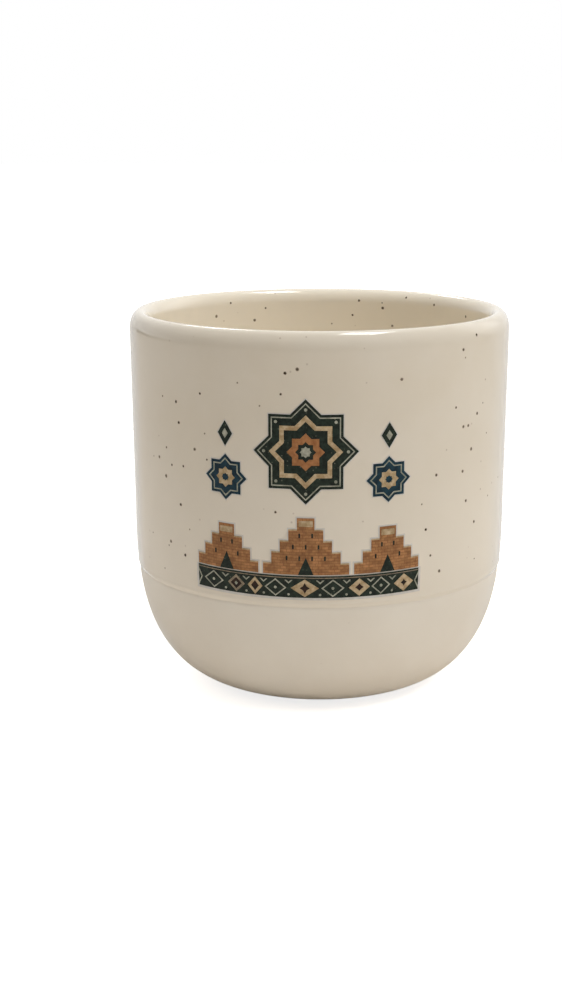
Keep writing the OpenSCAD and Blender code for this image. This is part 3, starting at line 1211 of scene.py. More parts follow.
@dataclass(frozen=True)
class GlazeCoats:
    """The gloss glaze outside and inside, the satin glaze and the glaze under the foot."""

    form: CupForm
    edge_steps: int = 32
    wall_steps: int = 20
    satin_steps: int = 90
    base_steps: int = 6

    def rolled_edge(self) -> Outline:
        """Lists the soft rounded edge where the gloss glaze ends.

        Returns:
            The points from the bottom up.
        """
        form, belly = self.form, self.form.edge_belly
        start = form.satin_t - form.groove_in - form.gloss_t + form.edge_step
        points = []
        for i in range(self.edge_steps + 1):
            share = i / self.edge_steps
            if share < belly:
                rise = math.sin(math.radians(90 * share / belly)) ** 2
                out = share_of(start, form.edge_out, rise)
            else:
                fall = math.cos(math.radians(90 * (share - belly) / (1 - belly))) ** 2
                out = form.edge_out * fall
            height = form.edge_low_h + form.edge_h * share
            points.append((form.glaze_radius(height) + out, height))
        return points

    def gloss_outline(self) -> Outline:
        """Lists the outline of the gloss glaze outside.

        Returns:
            The points in order.
        """
        form, steps = self.form, self.wall_steps
        bowl = form.gloss_bowl
        side = bowl.path(bowl.angle_at_height(form.edge_top_h), 90, steps)[1:]
        lip = rounding((form.crest_r, form.lip_start_h), (form.lip_in, form.lip_h), 0, 90)
        wall = [
            (form.glaze_radius(height), height) for height in
            (share_of(form.shoulder_h, form.lip_start_h, i / steps) for i in range(1, steps))
        ]
        return form.clay_under_gloss()[::-1] + self.rolled_edge() + side + wall + lip

    def liner_outline(self) -> Outline:
        """Lists the outline of the glaze inside the cup.

        Returns:
            The points in order.
        """
        form = self.form
        size = (form.wall - form.lip_in, form.lip_inner_h)
        lip = rounding((form.crest_r, form.inner_lip_h), size, 90, 180)
        inside = form.liner_bowl.path(90, 0, LONG_STEPS)
        return [*lip, *inside, (0.0, form.floor_h), *form.clay_under_liner()[::-1]]

    def satin_outline(self) -> Outline:
        """Lists the outline of the satin glaze on the bowl, with the groove at its top.

        Returns:
            The points in order.
        """
        form, bowl = self.form, self.form.satin_bowl
        start = bowl.angle_at_radius(form.foot_r + form.wipe_w)
        end = bowl.angle_at_height(form.edge_low_h)
        side = []
        for radius, height in bowl.path(start, end, self.satin_steps):
            near = max(0.0, 1 - (form.edge_low_h - height) / form.groove_h)
            side.append((radius - form.groove_in * near * near, height))
        return form.clay_under_satin()[::-1] + side

    def base_outline(self) -> Outline:
        """Lists the outline of the glaze in the hollow of the foot.

        Returns:
            The points in order.
        """
        form, thick = self.form, self.form.satin_t
        radius = form.foot_r - form.foot_w - form.base_margin
        centre = (radius - thick, form.recess_h)
        rim = rounding(centre, (thick, -thick), 90, 0, self.base_steps)
        return [(0.0, form.recess_h - thick), *rim, (0.0, form.recess_h)]

    def build(self, finishes: FinishSet) -> None:
        """Turns and dresses the four coats.

        Args:
            finishes: The cup's finishes.
        """
        gloss, satin = finishes.gloss.material(), finishes.satin.material()
        for name, outline, material, slot, node in (
            ("gloss_coat", self.gloss_outline(), gloss, Slot.GLOSS, "gloss_glaze"),
            ("liner_coat", self.liner_outline(), gloss, Slot.GLOSS, "liner_glaze"),
            ("satin_coat", self.satin_outline(), satin, Slot.SATIN, "satin_glaze"),
            ("base_coat", self.base_outline(), satin, Slot.SATIN, "base_glaze"),
        ):
            dress(lathe(name, outline, self.form), material, slot, node)


@dataclass(frozen=True)
class Speck:
    """One iron speck: its angle round the cup, its height and its radius."""

    turn: float
    height: float
    radius: float


def measure_specks(node: str) -> list[Speck]:
    """Finds each speck of a CAD node.

    Args:
        node: Name of the node.

    Returns:
        Its specks, from the lowest up.
    """
    mesh = bmesh.new()
    mesh.from_mesh(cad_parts[node].data)
    bmesh.ops.remove_doubles(mesh, verts=mesh.verts, dist=SAME_PLACE)
    seen: set[int] = set()
    specks = []
    for start in mesh.verts:
        if start.index in seen:
            continue
        island, waiting = [], [start]
        seen.add(start.index)
        while waiting:
            vert = waiting.pop()
            island.append(vert.co / MM)
            for edge in vert.link_edges:
                other = edge.other_vert(vert)
                if other.index not in seen:
                    seen.add(other.index)
                    waiting.append(other)
        low, high = (pick(co.z for co in island) for pick in (min, max))
        middle = sum(island, Vector()) / len(island)
        turn = math.degrees(math.atan2(middle.x, -middle.y))
        specks.append(Speck(turn, (high + low) / 2, (high - low) / 2))
    mesh.free()
    digits = 3
    return sorted(
        specks, key=lambda speck: (round(speck.height, digits), round(speck.turn, digits)))


@dataclass(frozen=True)
class IronSpecks:
    """Brown specks melted into the gloss glaze, outside and inside."""

    form: CupForm
    crown: float = 0.03
    sunk: float = 0.03
    halo: float = 1.2
    sides: int = 14
    rings: tuple[Point, ...] = ((0.4, 1.0), (0.68, 0.8), (0.86, 0.3), (1.0, 0.0))
    rim_lift: float = 0.002
    palest: float = 0.78
    full_r: float = 0.2
    unevenness: Point = (0.84, 1.12)
    seed: int = 7
    outer_lip: tuple[Speck, ...] = (Speck(51.0, 67.9, 0.26),)
    inner_lip: tuple[Speck, ...] = (
        Speck(214.5, 67.9, 0.22), Speck(165.0, 67.9, 0.25), Speck(156.0, 67.6, 0.16),
        Speck(146.5, 68.9, 0.2), Speck(133.5, 68.0, 0.24),
    )

    def place(self, inside: bool, turn: float, height: float, lift: float) -> Vector:
        """Finds a point over the glaze, outside or inside.

        Args:
            inside: Whether the glaze is the one inside the cup.
            turn: Angle round the cup.
            height: Height of the point.
            lift: Distance from the glaze.

        Returns:
            The point in metres.
        """
        if not inside:
            return self.form.on_glaze(turn, height, lift)
        radius = self.form.liner_radius(height) + self.form.swelling(turn, height)
        return at(turn, radius - lift, height)

    def melt(self, name: str, specks: list[Speck], inside: bool) -> bpy.types.Object:
        """Makes low domes with uneven rims, one for each speck.

        Args:
            name: Name of the piece.
            specks: The specks.
            inside: Whether they lie inside the cup.

        Returns:
            The piece.
        """
        draw = random.Random(self.seed)
        points: list[Vector] = []
        faces: list[tuple[int, ...]] = []
        browns: list[float] = []
        facing = -1 if inside else 1
        wall_r = self.form.radius - (self.form.wall if inside else 0.0)
        layers = [
            (share, self.crown * (1 - share * share) + self.rim_lift, brown)
            for share, brown in self.rings
        ]
        layers.append((1.0, -self.sunk, 0.0))
        for speck in specks:
            reach = speck.radius * self.halo
            strength = share_of(self.palest, 1.0, draw.random())
            strength *= min(1.0, speck.radius / self.full_r)
            uneven = [draw.uniform(*self.unevenness) for _ in range(self.sides)]
            first = len(points)
            points.append(self.place(inside, speck.turn, speck.height, self.crown))
            browns.append(strength)
            for share, lift, brown in layers:
                for i in range(self.sides):
                    angle = math.radians(360 * i / self.sides)
                    out = reach * share * share_of(1.0, uneven[i], share)
                    turn = speck.turn + facing * math.degrees(out * math.cos(angle) / wall_r)
                    height = speck.height + out * math.sin(angle)
                    points.append(self.place(inside, turn, height, lift))
                    browns.append(strength * brown)
            last = len(points)
            points.append(self.place(inside, speck.turn, speck.height, -self.sunk))
            browns.append(0.0)
            for i in range(self.sides):
                j = (i + 1) % self.sides
                faces.append((first, first + 1 + i, first + 1 + j))
                for ring in range(len(layers) - 1):
                    low = first + 1 + ring * self.sides
                    high = low + self.sides
                    faces.append((low + i, high + i, high + j, low + j))
                rim = first + 1 + (len(layers) - 1) * self.sides
                faces.append((last, rim + j, rim + i))
        piece = finish_mesh(name, points, faces)
        marks = piece.data.attributes.new(BROWN_MARK, "FLOAT", "POINT")
        marks.data.foreach_set("value", browns)
        return piece

    def build(self, finishes: FinishSet) -> None:
        """Makes and dresses both sets of specks.

        Args:
            finishes: The cup's finishes.
        """
        for name, node, lip, finish, inside in (
            ("outer_iron", "outer_specks", self.outer_lip, finishes.speck, False),
            ("inner_iron", "liner_specks", self.inner_lip, finishes.inner_speck, True),
        ):
            piece = self.melt(name, measure_specks(node) + list(lip), inside)
            dress(piece, finish.material(), Slot.SPECK, node)


@dataclass(frozen=True)
class PrintPiece:
    """One piece of the print, and the CAD node that it stands for."""

    name: str
    coat: Coat
    ink: Ink
    slot: Slot
    node: str


@dataclass(frozen=True)
class PrintCanvas:
    """The wall as the ground of the fired print, measured from the print's middle."""

    form: CupForm
    turn: float = -3.6
    coat_t: float = 0.04
    bow: float = 0.36
    half_len: float = 20.45
    grain: float = 0.9

    def place(self, arc: float, height: float, lift: float) -> Vector:
        """Finds a point on the wall, with the transfer's slight upward bow at its ends.

        Args:
            arc: Place along the wall.
            height: Height of the point.
            lift: Distance outward from the glaze.

        Returns:
            The point in metres.
        """
        turn = self.turn + math.degrees(arc / self.form.radius)
        bowed = height + self.bow * (arc / self.half_len) ** 2
        return self.form.on_glaze(turn, bowed, lift)

    def cut(self, figure: FlatFigure) -> tuple[Outline, list[list[int]]]:
        """Cuts a flat figure finely enough to follow the wall.

        Args:
            figure: The flat figure.

        Returns:
            Its points, and the point numbers of each face, anticlockwise.
        """
        flat = bmesh.new()
        for patch in figure.patches:
            flat.faces.new([flat.verts.new((x, y, 0)) for x, y in patch])
        bmesh.ops.remove_doubles(flat, verts=flat.verts, dist=SAME_SPOT)
        bmesh.ops.triangulate(flat, faces=flat.faces)
        for axis, normal in enumerate((Vector((1, 0, 0)), Vector((0, 1, 0)))):
            values = [vert.co[axis] for vert in flat.verts]
            low, high = min(values), max(values)
            for i in range(int((high - low) / self.grain)):
                everything = flat.verts[:] + flat.edges[:] + flat.faces[:]
                place = normal * (low + self.grain * (i + 0.5))
                bmesh.ops.bisect_plane(flat, geom=everything, plane_co=place, plane_no=normal)
        flat.verts.index_update()
        spots = [(vert.co.x, vert.co.y) for vert in flat.verts]
        faces = []
        for face in flat.faces:
            corners = [vert.index for vert in face.verts]
            faces.append(corners if face.normal.z > 0 else corners[::-1])
        flat.free()
        return spots, faces

    def lay(self, name: str, figure: FlatFigure, coat: Coat) -> bpy.types.Object:
        """Lays a flat figure on the wall as a closed coat of print.

        Args:
            name: Name of the piece.
            figure: The flat figure.
            coat: Coat that it belongs to.

        Returns:
            The new piece.
        """
        spots, fronts = self.cut(figure)
        count = len(spots)
        edges = {
            pair for corners in fronts for pair in zip(corners, corners[1:] + corners[:1])
        }
        faces = [tuple(corners) for corners in fronts]
        faces += [tuple(i + count for i in reversed(corners)) for corners in fronts]
        faces += [
            (b, a, a + count, b + count) for a, b in sorted(edges) if (b, a) not in edges
        ]
        inner_lift = coat.value * self.coat_t
        points = [
            self.place(x, y, lift)
            for lift in (inner_lift + self.coat_t, inner_lift) for x, y in spots
        ]
        piece = finish_mesh(name, points, faces)
        marks = piece.data.attributes.new(PLACE_MARK, "FLOAT_VECTOR", "POINT")
        flat_places = [value for x, y in spots * 2 for value in (x, y, 0.0)]
        marks.data.foreach_set("vector", flat_places)
        return piece

    def print_all(self, figures: Figures, pieces: tuple[PrintPiece, ...], inks: Inks) -> None:
        """Lays and dresses figures of the print.

        Args:
            figures: The figures by piece name.
            pieces: The pieces, in the order in which they are laid.
            inks: Materials of the inks.
        """
        for piece in pieces:
            coat = self.lay(piece.name, figures[piece.name], piece.coat)
            dress(coat, inks[piece.ink], piece.slot, piece.node)


class Motif(Enum):
    """Kinds of lozenge in the band."""

    LINE = "thin open line with a bead"
    DOUBLE = "thick dun line round a dark fill with a bead"
    SOLID = "solid with a dark core"


@dataclass(frozen=True)
class BandLozenge:
    """One lozenge: its place along the band, its width, and its core as shares of it."""

    place: float
    width: float
    motif: Motif
    core_w: float = 0.37
    core_h: float = 0.42
    core_waist: float = 0.6


@dataclass(frozen=True)
class LozengeBand:
    """The traditional band of lozenges at the foot of the print."""

    canvas: PrintCanvas
    length: float = 40.9
    height: float = 3.9
    lift: float = 0.1
    film_w: float = 0.45
    film_over: float = 0.1
    hairline_drop: float = 0.26
    hairline_w: float = 0.15
    half_w: float = 2.0
    tall_share: float = 0.45
    line_w: float = 0.21
    thick_line_w: float = 0.4
    bead_r: float = 0.25
    long_bead_shares: Point = (1.3, 1.5)
    cut_half_w: float = 0.85
    chevron_half_w: float = 0.72
    chevron_h: float = 0.66
    chevron_line_share: float = 0.42
    chevron_drop_share: float = 0.1
    dot_r: float = 0.21
    dot_place_share: float = 0.75
    lozenges: tuple[BandLozenge, ...] = (
        BandLozenge(0.082, 1.00, Motif.LINE),
        BandLozenge(0.193, 0.83, Motif.DOUBLE),
        BandLozenge(0.280, 0.69, Motif.SOLID, 0.52, 0.58, 0.68),
        BandLozenge(0.370, 0.97, Motif.LINE),
        BandLozenge(0.496, 1.23, Motif.SOLID, 0.36, 0.62, 0.52),
        BandLozenge(0.615, 1.01, Motif.LINE),
        BandLozenge(0.728, 0.94, Motif.SOLID, 0.40, 0.42, 0.64),
        BandLozenge(0.823, 0.87, Motif.LINE),
        BandLozenge(0.928, 0.94, Motif.SOLID, 0.32, 0.40, 0.55),
    )
    pieces: tuple[PrintPiece, ...] = (
        PrintPiece("band_ink", Coat.GROUND, Ink.GREEN, Slot.GREEN, "band_ground"),
        PrintPiece("band_line", Coat.FIGURE, Ink.DUN, Slot.SAND, "band_hairline"),
        PrintPiece("sand_lozenges", Coat.FIGURE, Ink.SAND, Slot.SAND, "band_sand_lozenges"),
        PrintPiece("open_lozenges", Coat.FIGURE, Ink.PALE, Slot.PALE, "band_open_lozenges"),
        PrintPiece("dun_lozenge", Coat.FIGURE, Ink.DUN, Slot.PALE, "band_open_lozenges"),
        PrintPiece("lozenge_cores", Coat.CORE, Ink.UMBER, Slot.GREEN, "band_dark_cores"),
        PrintPiece("lozenge_beads", Coat.CORE, Ink.PALE, Slot.SAND, "band_beads"),
        PrintPiece("gap_chevrons", Coat.FIGURE, Ink.PALE, Slot.PALE, "band_chevrons"),
        PrintPiece("gap_dots", Coat.FIGURE, Ink.PALE, Slot.PALE, "band_dots"),
    )

    @property
    def base_h(self) -> float:
        """Height of the bottom of the ink."""
        return self.canvas.form.edge_top_h + self.lift + self.film_w

    @property
    def top_h(self) -> float:
        """Height of the top of the ink."""
        return self.base_h + self.height

    @property
    def hairline_base_h(self) -> float:
        """Height of the bottom of the hairline."""
        return self.top_h - self.hairline_drop - self.hairline_w

    @property
    def middle_h(self) -> float:
        """Height of the middle of the lozenges."""
        return (self.base_h + self.hairline_base_h) / 2

    @property
    def half_h(self) -> float:
        """Half the height of the lozenges."""
        return (self.hairline_base_h - self.base_h) * self.tall_share

    def arc(self, share: float) -> float:
        """Finds the place along the wall at a share of the band."""
        return self.length * (share - 0.5)

    def film(self) -> Outline:
        """Lists the outline of the film under the band."""
        half = self.length / 2 + self.film_w
        return rectangle(-half, half, self.base_h - self.film_w, self.top_h + self.film_over)

    def hole_width(self, half_w: float, line_w: float) -> float:
        """Finds half the width of the hole that a line leaves in a lozenge."""
        return half_w - line_w * math.hypot(half_w, self.half_h) / self.half_h

    def draw_ground(self, figures: Figures) -> None:
        """Draws the ground of the band and the hairline near its top.

        Args:
            figures: The band's figures, which it adds to.
        """
        half, line_h = self.length / 2, self.hairline_base_h
        figures["band_ink"].fill(rectangle(-half, half, self.base_h, self.top_h))
        figures["band_line"].fill(rectangle(-half, half, line_h, line_h + self.hairline_w))

    def draw_lozenge(self, one: BandLozenge, figures: Figures) -> None:
        """Draws a lozenge with its core or its bead.

        Args:
            one: The lozenge.
            figures: The band's figures, which it adds to.
        """
        half_w, spot = self.half_w * one.width, (self.arc(one.place), self.middle_h)
        outer = moved(lozenge(half_w, self.half_h), *spot)
        if one.motif is Motif.SOLID:
            figures["sand_lozenges"].fill(outer)
            reach_w, reach_h = half_w * one.core_w, self.half_h * one.core_h
            star = pointed(1.0, one.core_waist, corners=8)
            core = [(x * reach_w, y * reach_h) for x, y in star]
            figures["lozenge_cores"].fill(moved(core, *spot))
            return
        double = one.motif is Motif.DOUBLE
        hole_w = self.hole_width(half_w, self.thick_line_w if double else self.line_w)
        hole = moved(lozenge(hole_w, hole_w * self.half_h / half_w), *spot)
        figures["dun_lozenge" if double else "open_lozenges"].ring(outer, hole)
        bead = moved(disc(self.bead_r), *spot)
        if double:
            long_bead = lozenge(*(self.bead_r * share for share in self.long_bead_shares))
            bead = moved(long_bead, *spot)
            figures["lozenge_cores"].ring(hole, bead)
        figures["lozenge_beads"].fill(bead)

    def draw_cut_lozenge(self, side: int, figures: Figures) -> None:
        """Draws the open lozenge that an end of the band cuts in half.

        Args:
            side: -1 for the left end and 1 for the right end.
            figures: The band's figures, which it adds to.
        """
        reach = self.cut_half_w
        inner_w = self.hole_width(reach, self.line_w)
        inner_h = inner_w * self.half_h / reach
        for up in (-1, 1):
            arm = [
                (0.0, up * self.half_h), (-side * reach, 0.0), (-side * inner_w, 0.0),
                (0.0, up * inner_h),
            ]
            turned = arm if side * up > 0 else arm[::-1]
            figures["open_lozenges"].fill(moved(turned, side * self.length / 2, self.middle_h))

    def draw_gap(self, near: BandLozenge, far: BandLozenge, figures: Figures) -> None:
        """Draws the chevron and the dot between two neighbouring lozenges.

        Args:
            near: The lozenge on the left.
            far: The lozenge on the right.
            figures: The band's figures, which it adds to.
        """
        right = self.arc(near.place) + self.half_w * near.width
        left = self.arc(far.place) - self.half_w * far.width
        place = (right + left) / 2
        half, drop = self.chevron_half_w, self.chevron_h
        line = half * self.chevron_line_share
        tip, inner = (0.0, -drop), (0.0, drop * (self.chevron_line_share - 1))
        top = self.middle_h + self.half_h * (1 - self.chevron_drop_share)
        for arm in (
            [(-half, 0.0), tip, inner, (line - half, 0.0)],
            [(half - line, 0.0), inner, tip, (half, 0.0)],
        ):
            figures["gap_chevrons"].fill(moved(arm, place, top))
        low = self.middle_h - self.half_h * self.dot_place_share
        figures["gap_dots"].fill(moved(disc(self.dot_r), place, low))

    def build(self, inks: Inks) -> None:
        """Draws, lays and dresses the band.

        Args:
            inks: Materials of the inks.
        """
        figures: Figures = defaultdict(FlatFigure)
        self.draw_ground(figures)
        for one in self.lozenges:
            self.draw_lozenge(one, figures)
        for side in (-1, 1):
            self.draw_cut_lozenge(side, figures)
        for near, far in zip(self.lozenges, self.lozenges[1:]):
            self.draw_gap(near, far, figures)
        self.canvas.print_all(figures, self.pieces, inks)


@dataclass(frozen=True)
class StarPanel:
    """The printed panel over the band: stepped gables, a star medallion, side stars and drops."""

    canvas: PrintCanvas
    band: LozengeBand
    frieze_lift: float = 0.2
    halo_w: float = 0.25
    step_w: float = 1.5
    step_h: float = 2.0
    middle_steps: int = 5
    side_steps: int = 4
    figure_gap: float = 0.1
    medallion_r: float = 9.0
    medallion_gap: float = 2.4
    side_star_r: float = 4.0
    side_star_gap: float = 4.2
    drop_half_h: float = 2.2
    drop_half_w: float = 1.4
    drop_gap: float = 1.4
    waist_share: float = 0.765
    border_shares: Point = (0.93, 0.90)
    tracery_shares: Point = (0.70, 0.58)
    heart_shares: Point = (0.36, 0.198)
    centre_share: float = 0.11
    pearl_share: float = 0.80
    pearl_r: float = 0.27
    side_border_shares: Point = (0.84, 0.77)
    eye_share: float = 0.45
    eye_core_share: float = 0.17
    drop_eye_share: float = 0.4
    opening_w_share: float = 0.9
    opening_h_share: float = 1.53
    cap_w_share: float = 0.8
    cap_h_share: float = 0.5
    ledge_h: float = 0.22
    slit_w: float = 0.3
    slit_h: float = 0.75
    slit_rise: float = 0.55
    slit_gap: float = 2.2
    pieces: tuple[PrintPiece, ...] = (
        PrintPiece("medallion_ink", Coat.GROUND, Ink.GREEN, Slot.GREEN, "medallion_ground"),
        PrintPiece("tracery_ink", Coat.FIGURE, Ink.SAND, Slot.SAND, "medallion_tracery"),
        PrintPiece("heart_ink", Coat.FIGURE, Ink.TERRACOTTA, Slot.TERRACOTTA, "medallion_heart"),
        PrintPiece("side_star_ink", Coat.GROUND, Ink.NAVY, Slot.NAVY, "side_stars"),
        PrintPiece("star_eye_ink", Coat.FIGURE, Ink.SAND, Slot.SAND, "side_star_eyes"),
        PrintPiece("drop_ink", Coat.GROUND, Ink.GREEN, Slot.GREEN, "side_drops"),
        PrintPiece("gable_ink", Coat.GROUND, Ink.STONE, Slot.TERRACOTTA, "frieze_gables"),
        PrintPiece("opening_ink", Coat.FIGURE, Ink.GREEN, Slot.GREEN, "frieze_openings"),
        PrintPiece("cap_ink", Coat.FIGURE, Ink.SAND, Slot.SAND, "frieze_caps"),
        PrintPiece("fine_line_ink", Coat.FIGURE, Ink.PALE, Slot.PALE, "medallion_tracery"),
        PrintPiece("eye_core_ink", Coat.CORE, Ink.NAVY, Slot.NAVY, "side_star_eyes"),
    )

    @property
    def base_h(self) -> float:
        """Height of the foot of the gables."""
        return self.band.top_h + self.frieze_lift

    @property
    def side_arc(self) -> float:
        """Distance along the wall from the middle figures to the side ones.

        Returns:
            The distance in millimetres.
        """
        ground_r = self.canvas.form.glaze_radius(self.base_h)
        half_angles = (
            math.asin((self.step_w * steps + self.halo_w) / ground_r)
            for steps in (self.middle_steps, self.side_steps)
        )
        turn = sum(half_angles) + self.figure_gap / ground_r
        return turn * self.canvas.form.radius

    @property
    def medallion_h(self) -> float:
        """Height of the medallion's middle."""
        return (
            self.base_h + self.step_h * self.middle_steps + self.medallion_gap
            + self.medallion_r
        )

    @property
    def side_star_h(self) -> float:
        """Height of the side stars' middles."""
        return (
            self.base_h + self.step_h * self.side_steps + self.side_star_gap
            + self.side_star_r
        )

    @property
    def drop_h(self) -> float:
        """Height of the drops' middles."""
        return self.side_star_h + self.side_star_r + self.drop_gap + self.drop_half_h

    def gable_places(self) -> list[tuple[float, int]]:
        """Lists the place and the number of steps of each gable."""
        sides = [(arc, self.side_steps) for arc in (-self.side_arc, self.side_arc)]
        return [(0.0, self.middle_steps), *sides]

    def star(self, reach: float, arc: float, height: float) -> Outline:
        """Lists the corners of an eight-pointed star on the wall."""
        return moved(pointed(reach, reach * self.waist_share, corners=16), arc, height)

    def star_ring(self, figure: FlatFigure, radius: float, shares: Point, spot: Point) -> None:
        """Draws an open star.

        Args:
            figure: The figure that it adds to.
            radius: Radius of the star that it lies in.
            shares: Its outer and its inner reach, as shares of that radius.
            spot: Its middle.
        """
        figure.ring(*(self.star(radius * share, *spot) for share in shares))

    def gable(self, steps: int, margin: float = 0.0) -> Outline:
        """Lists the outline of a stepped gable on its base.

        Args:
            steps: Number of steps.
            margin: Width added round it, but for its foot.

        Returns:
            The outline, anticlockwise.
        """
        right = []
        for i in range(steps):
            for end in (0, 1):
                up = (i + end) * self.step_h + (margin if i + end else 0.0)
                right.append(((steps - i) * self.step_w + margin, up))
        return right + [(-x, y) for x, y in reversed(right)]

    def ledges(self, steps: int) -> list[Outline]:
        """Lists the pale edges along the treads of a stepped gable.

        Args:
            steps: Number of steps of the gable.

        Returns:
            The edges, measured from the middle of its foot.
        """
        strips = []
        for i in range(1, steps):
            near, far = (steps - i) * self.step_w, (steps - i + 1) * self.step_w
            low, high = i * self.step_h - self.ledge_h, i * self.step_h
            strips += [rectangle(near, far, low, high), rectangle(-far, -near, low, high)]
        return strips

    def slits(self, steps: int) -> list[Outline]:
        """Lists the narrow windows of a stepped gable, fewer in each course.

        Args:
            steps: Number of steps of the gable.

        Returns:
            The windows, measured from the middle of its foot.
        """
        windows = []
        half = self.slit_w / 2
        for course in range(1, steps - 1):
            count = steps - course
            low = course * self.step_h + self.slit_rise
            for i in range(count):
                middle = (i - (count - 1) / 2) * self.slit_gap
                if course > 1 or abs(middle) > self.slit_w:
                    windows.append(rectangle(middle - half, middle + half, low, low + self.slit_h))
        return windows

    def films(self) -> list[Outline]:
        """Lists the outlines of the film under the panel's figures.

        Returns:
            The outlines.
        """
        halo = self.halo_w
        outlines = [self.star(self.medallion_r + halo, 0.0, self.medallion_h)]
        for arc, steps in self.gable_places():
            outlines.append(moved(self.gable(steps, halo), arc, self.base_h))
        for arc in (-self.side_arc, self.side_arc):
            outlines.append(self.star(self.side_star_r + halo, arc, self.side_star_h))
            drop = lozenge(self.drop_half_w + halo, self.drop_half_h + halo)
            outlines.append(moved(drop, arc, self.drop_h))
        return outlines

    def draw_medallion(self, figures: Figures) -> None:
        """Draws the medallion: star within star, with a pearl in each point.

        Args:
            figures: The panel's figures, which it adds to.
        """
        radius, spot = self.medallion_r, (0.0, self.medallion_h)
        fine = figures["fine_line_ink"]
        figures["medallion_ink"].fill(self.star(radius, *spot))
        self.star_ring(figures["tracery_ink"], radius, self.tracery_shares, spot)
        self.star_ring(figures["heart_ink"], radius, self.heart_shares, spot)
        self.star_ring(fine, radius, self.border_shares, spot)
        fine.fill(self.star(radius * self.centre_share, *spot))
        reach = radius * self.pearl_share
        for x, y in pointed(reach, reach, corners=8):
            fine.fill(moved(disc(self.pearl_r), x, self.medallion_h + y))

    def draw_side(self, arc: float, figures: Figures) -> None:
        """Draws a side star with its eye, and the drop over it.

        Args:
            arc: Place of both along the wall.
            figures: The panel's figures, which it adds to.
        """
        reach, spot = self.side_star_r, (arc, self.side_star_h)
        figures["side_star_ink"].fill(self.star(reach, *spot))
        self.star_ring(figures["fine_line_ink"], reach, self.side_border_shares, spot)
        figures["star_eye_ink"].fill(self.star(reach * self.eye_share, *spot))
        figures["eye_core_ink"].fill(self.star(reach * self.eye_core_share, *spot))
        for name, share in (("drop_ink", 1.0), ("fine_line_ink", self.drop_eye_share)):
            drop = lozenge(self.drop_half_w * share, self.drop_half_h * share)
            figures[name].fill(moved(drop, arc, self.drop_h))

    def draw_gable(self, arc: float, steps: int, figures: Figures) -> None:
        """Draws a stepped gable with its doorway, cap, ledges and slits.

        Args:
            arc: Its place along the wall.
            steps: Its number of steps.
            figures: The panel's figures, which it adds to.
        """
        door_w, door_h = self.step_w * self.opening_w_share, self.step_h * self.opening_h_share
        door = [(-door_w, 0.0), (door_w, 0.0), (0.0, door_h)]
        cap_w, cap_h = self.step_w * self.cap_w_share, self.step_h * self.cap_h_share
        cap_low = self.step_h * (steps - self.cap_h_share) - cap_h / 2
        cap = rectangle(-cap_w, cap_w, cap_low, cap_low + cap_h)
        for name, outlines in (
            ("gable_ink", [self.gable(steps)]), ("opening_ink", [door, *self.slits(steps)]),
            ("cap_ink", [cap, *self.ledges(steps)]),
        ):
            for outline in outlines:
                figures[name].fill(moved(outline, arc, self.base_h))

    def build(self, inks: Inks) -> None:
        """Draws, lays and dresses the panel.

        Args:
            inks: Materials of the inks.
        """
        figures: Figures = defaultdict(FlatFigure)
        self.draw_medallion(figures)
        for arc in (-self.side_arc, self.side_arc):
            self.draw_side(arc, figures)
        for arc, steps in self.gable_places():
            self.draw_gable(arc, steps, figures)
        self.canvas.print_all(figures, self.pieces, inks)


@dataclass(frozen=True)
class FiredPrint:
    """The whole fired print: its film, its band and its panel."""

    canvas: PrintCanvas
    sheet: PrintPiece = PrintPiece("film_sheet", Coat.FILM, Ink.FILM, Slot.FILM, "print_film")

    def build(self, finishes: FinishSet) -> None:
        """Lays and dresses the print.

        Args:
            finishes: The cup's finishes.
        """
        inks = finishes.inks()
        band = LozengeBand(self.canvas)
        panel = StarPanel(self.canvas, band)
        figures: Figures = defaultdict(FlatFigure)
        for outline in (band.film(), *panel.films()):
            figures[self.sheet.name].fill(outline)
        self.canvas.print_all(figures, (self.sheet,), inks)
        band.build(inks)
        panel.build(inks)


# Studio


@dataclass(frozen=True)
class Softbox:
    """A soft lamp aimed at the cup."""

    name: str
    place: tuple[float, float, float]
    width: float
    depth: float
    power: float
    mirrored: bool = True

    def build(self, target: Vector) -> None:
        """Hangs the lamp.

        Args:
            target: Point that it faces.
        """
        data = bpy.data.lights.new(self.name, "AREA")
        data.shape = "RECTANGLE"
        data.size, data.size_y, data.energy = self.width, self.depth, self.power
        lamp = bpy.data.objects.new(self.name, data)
        lamp.location = self.place
        lamp.rotation_euler = (target - lamp.location).to_track_quat("-Z", "Y").to_euler()
        lamp.visible_camera = False
        lamp.visible_glossy = self.mirrored
        bpy.context.scene.collection.objects.link(lamp)


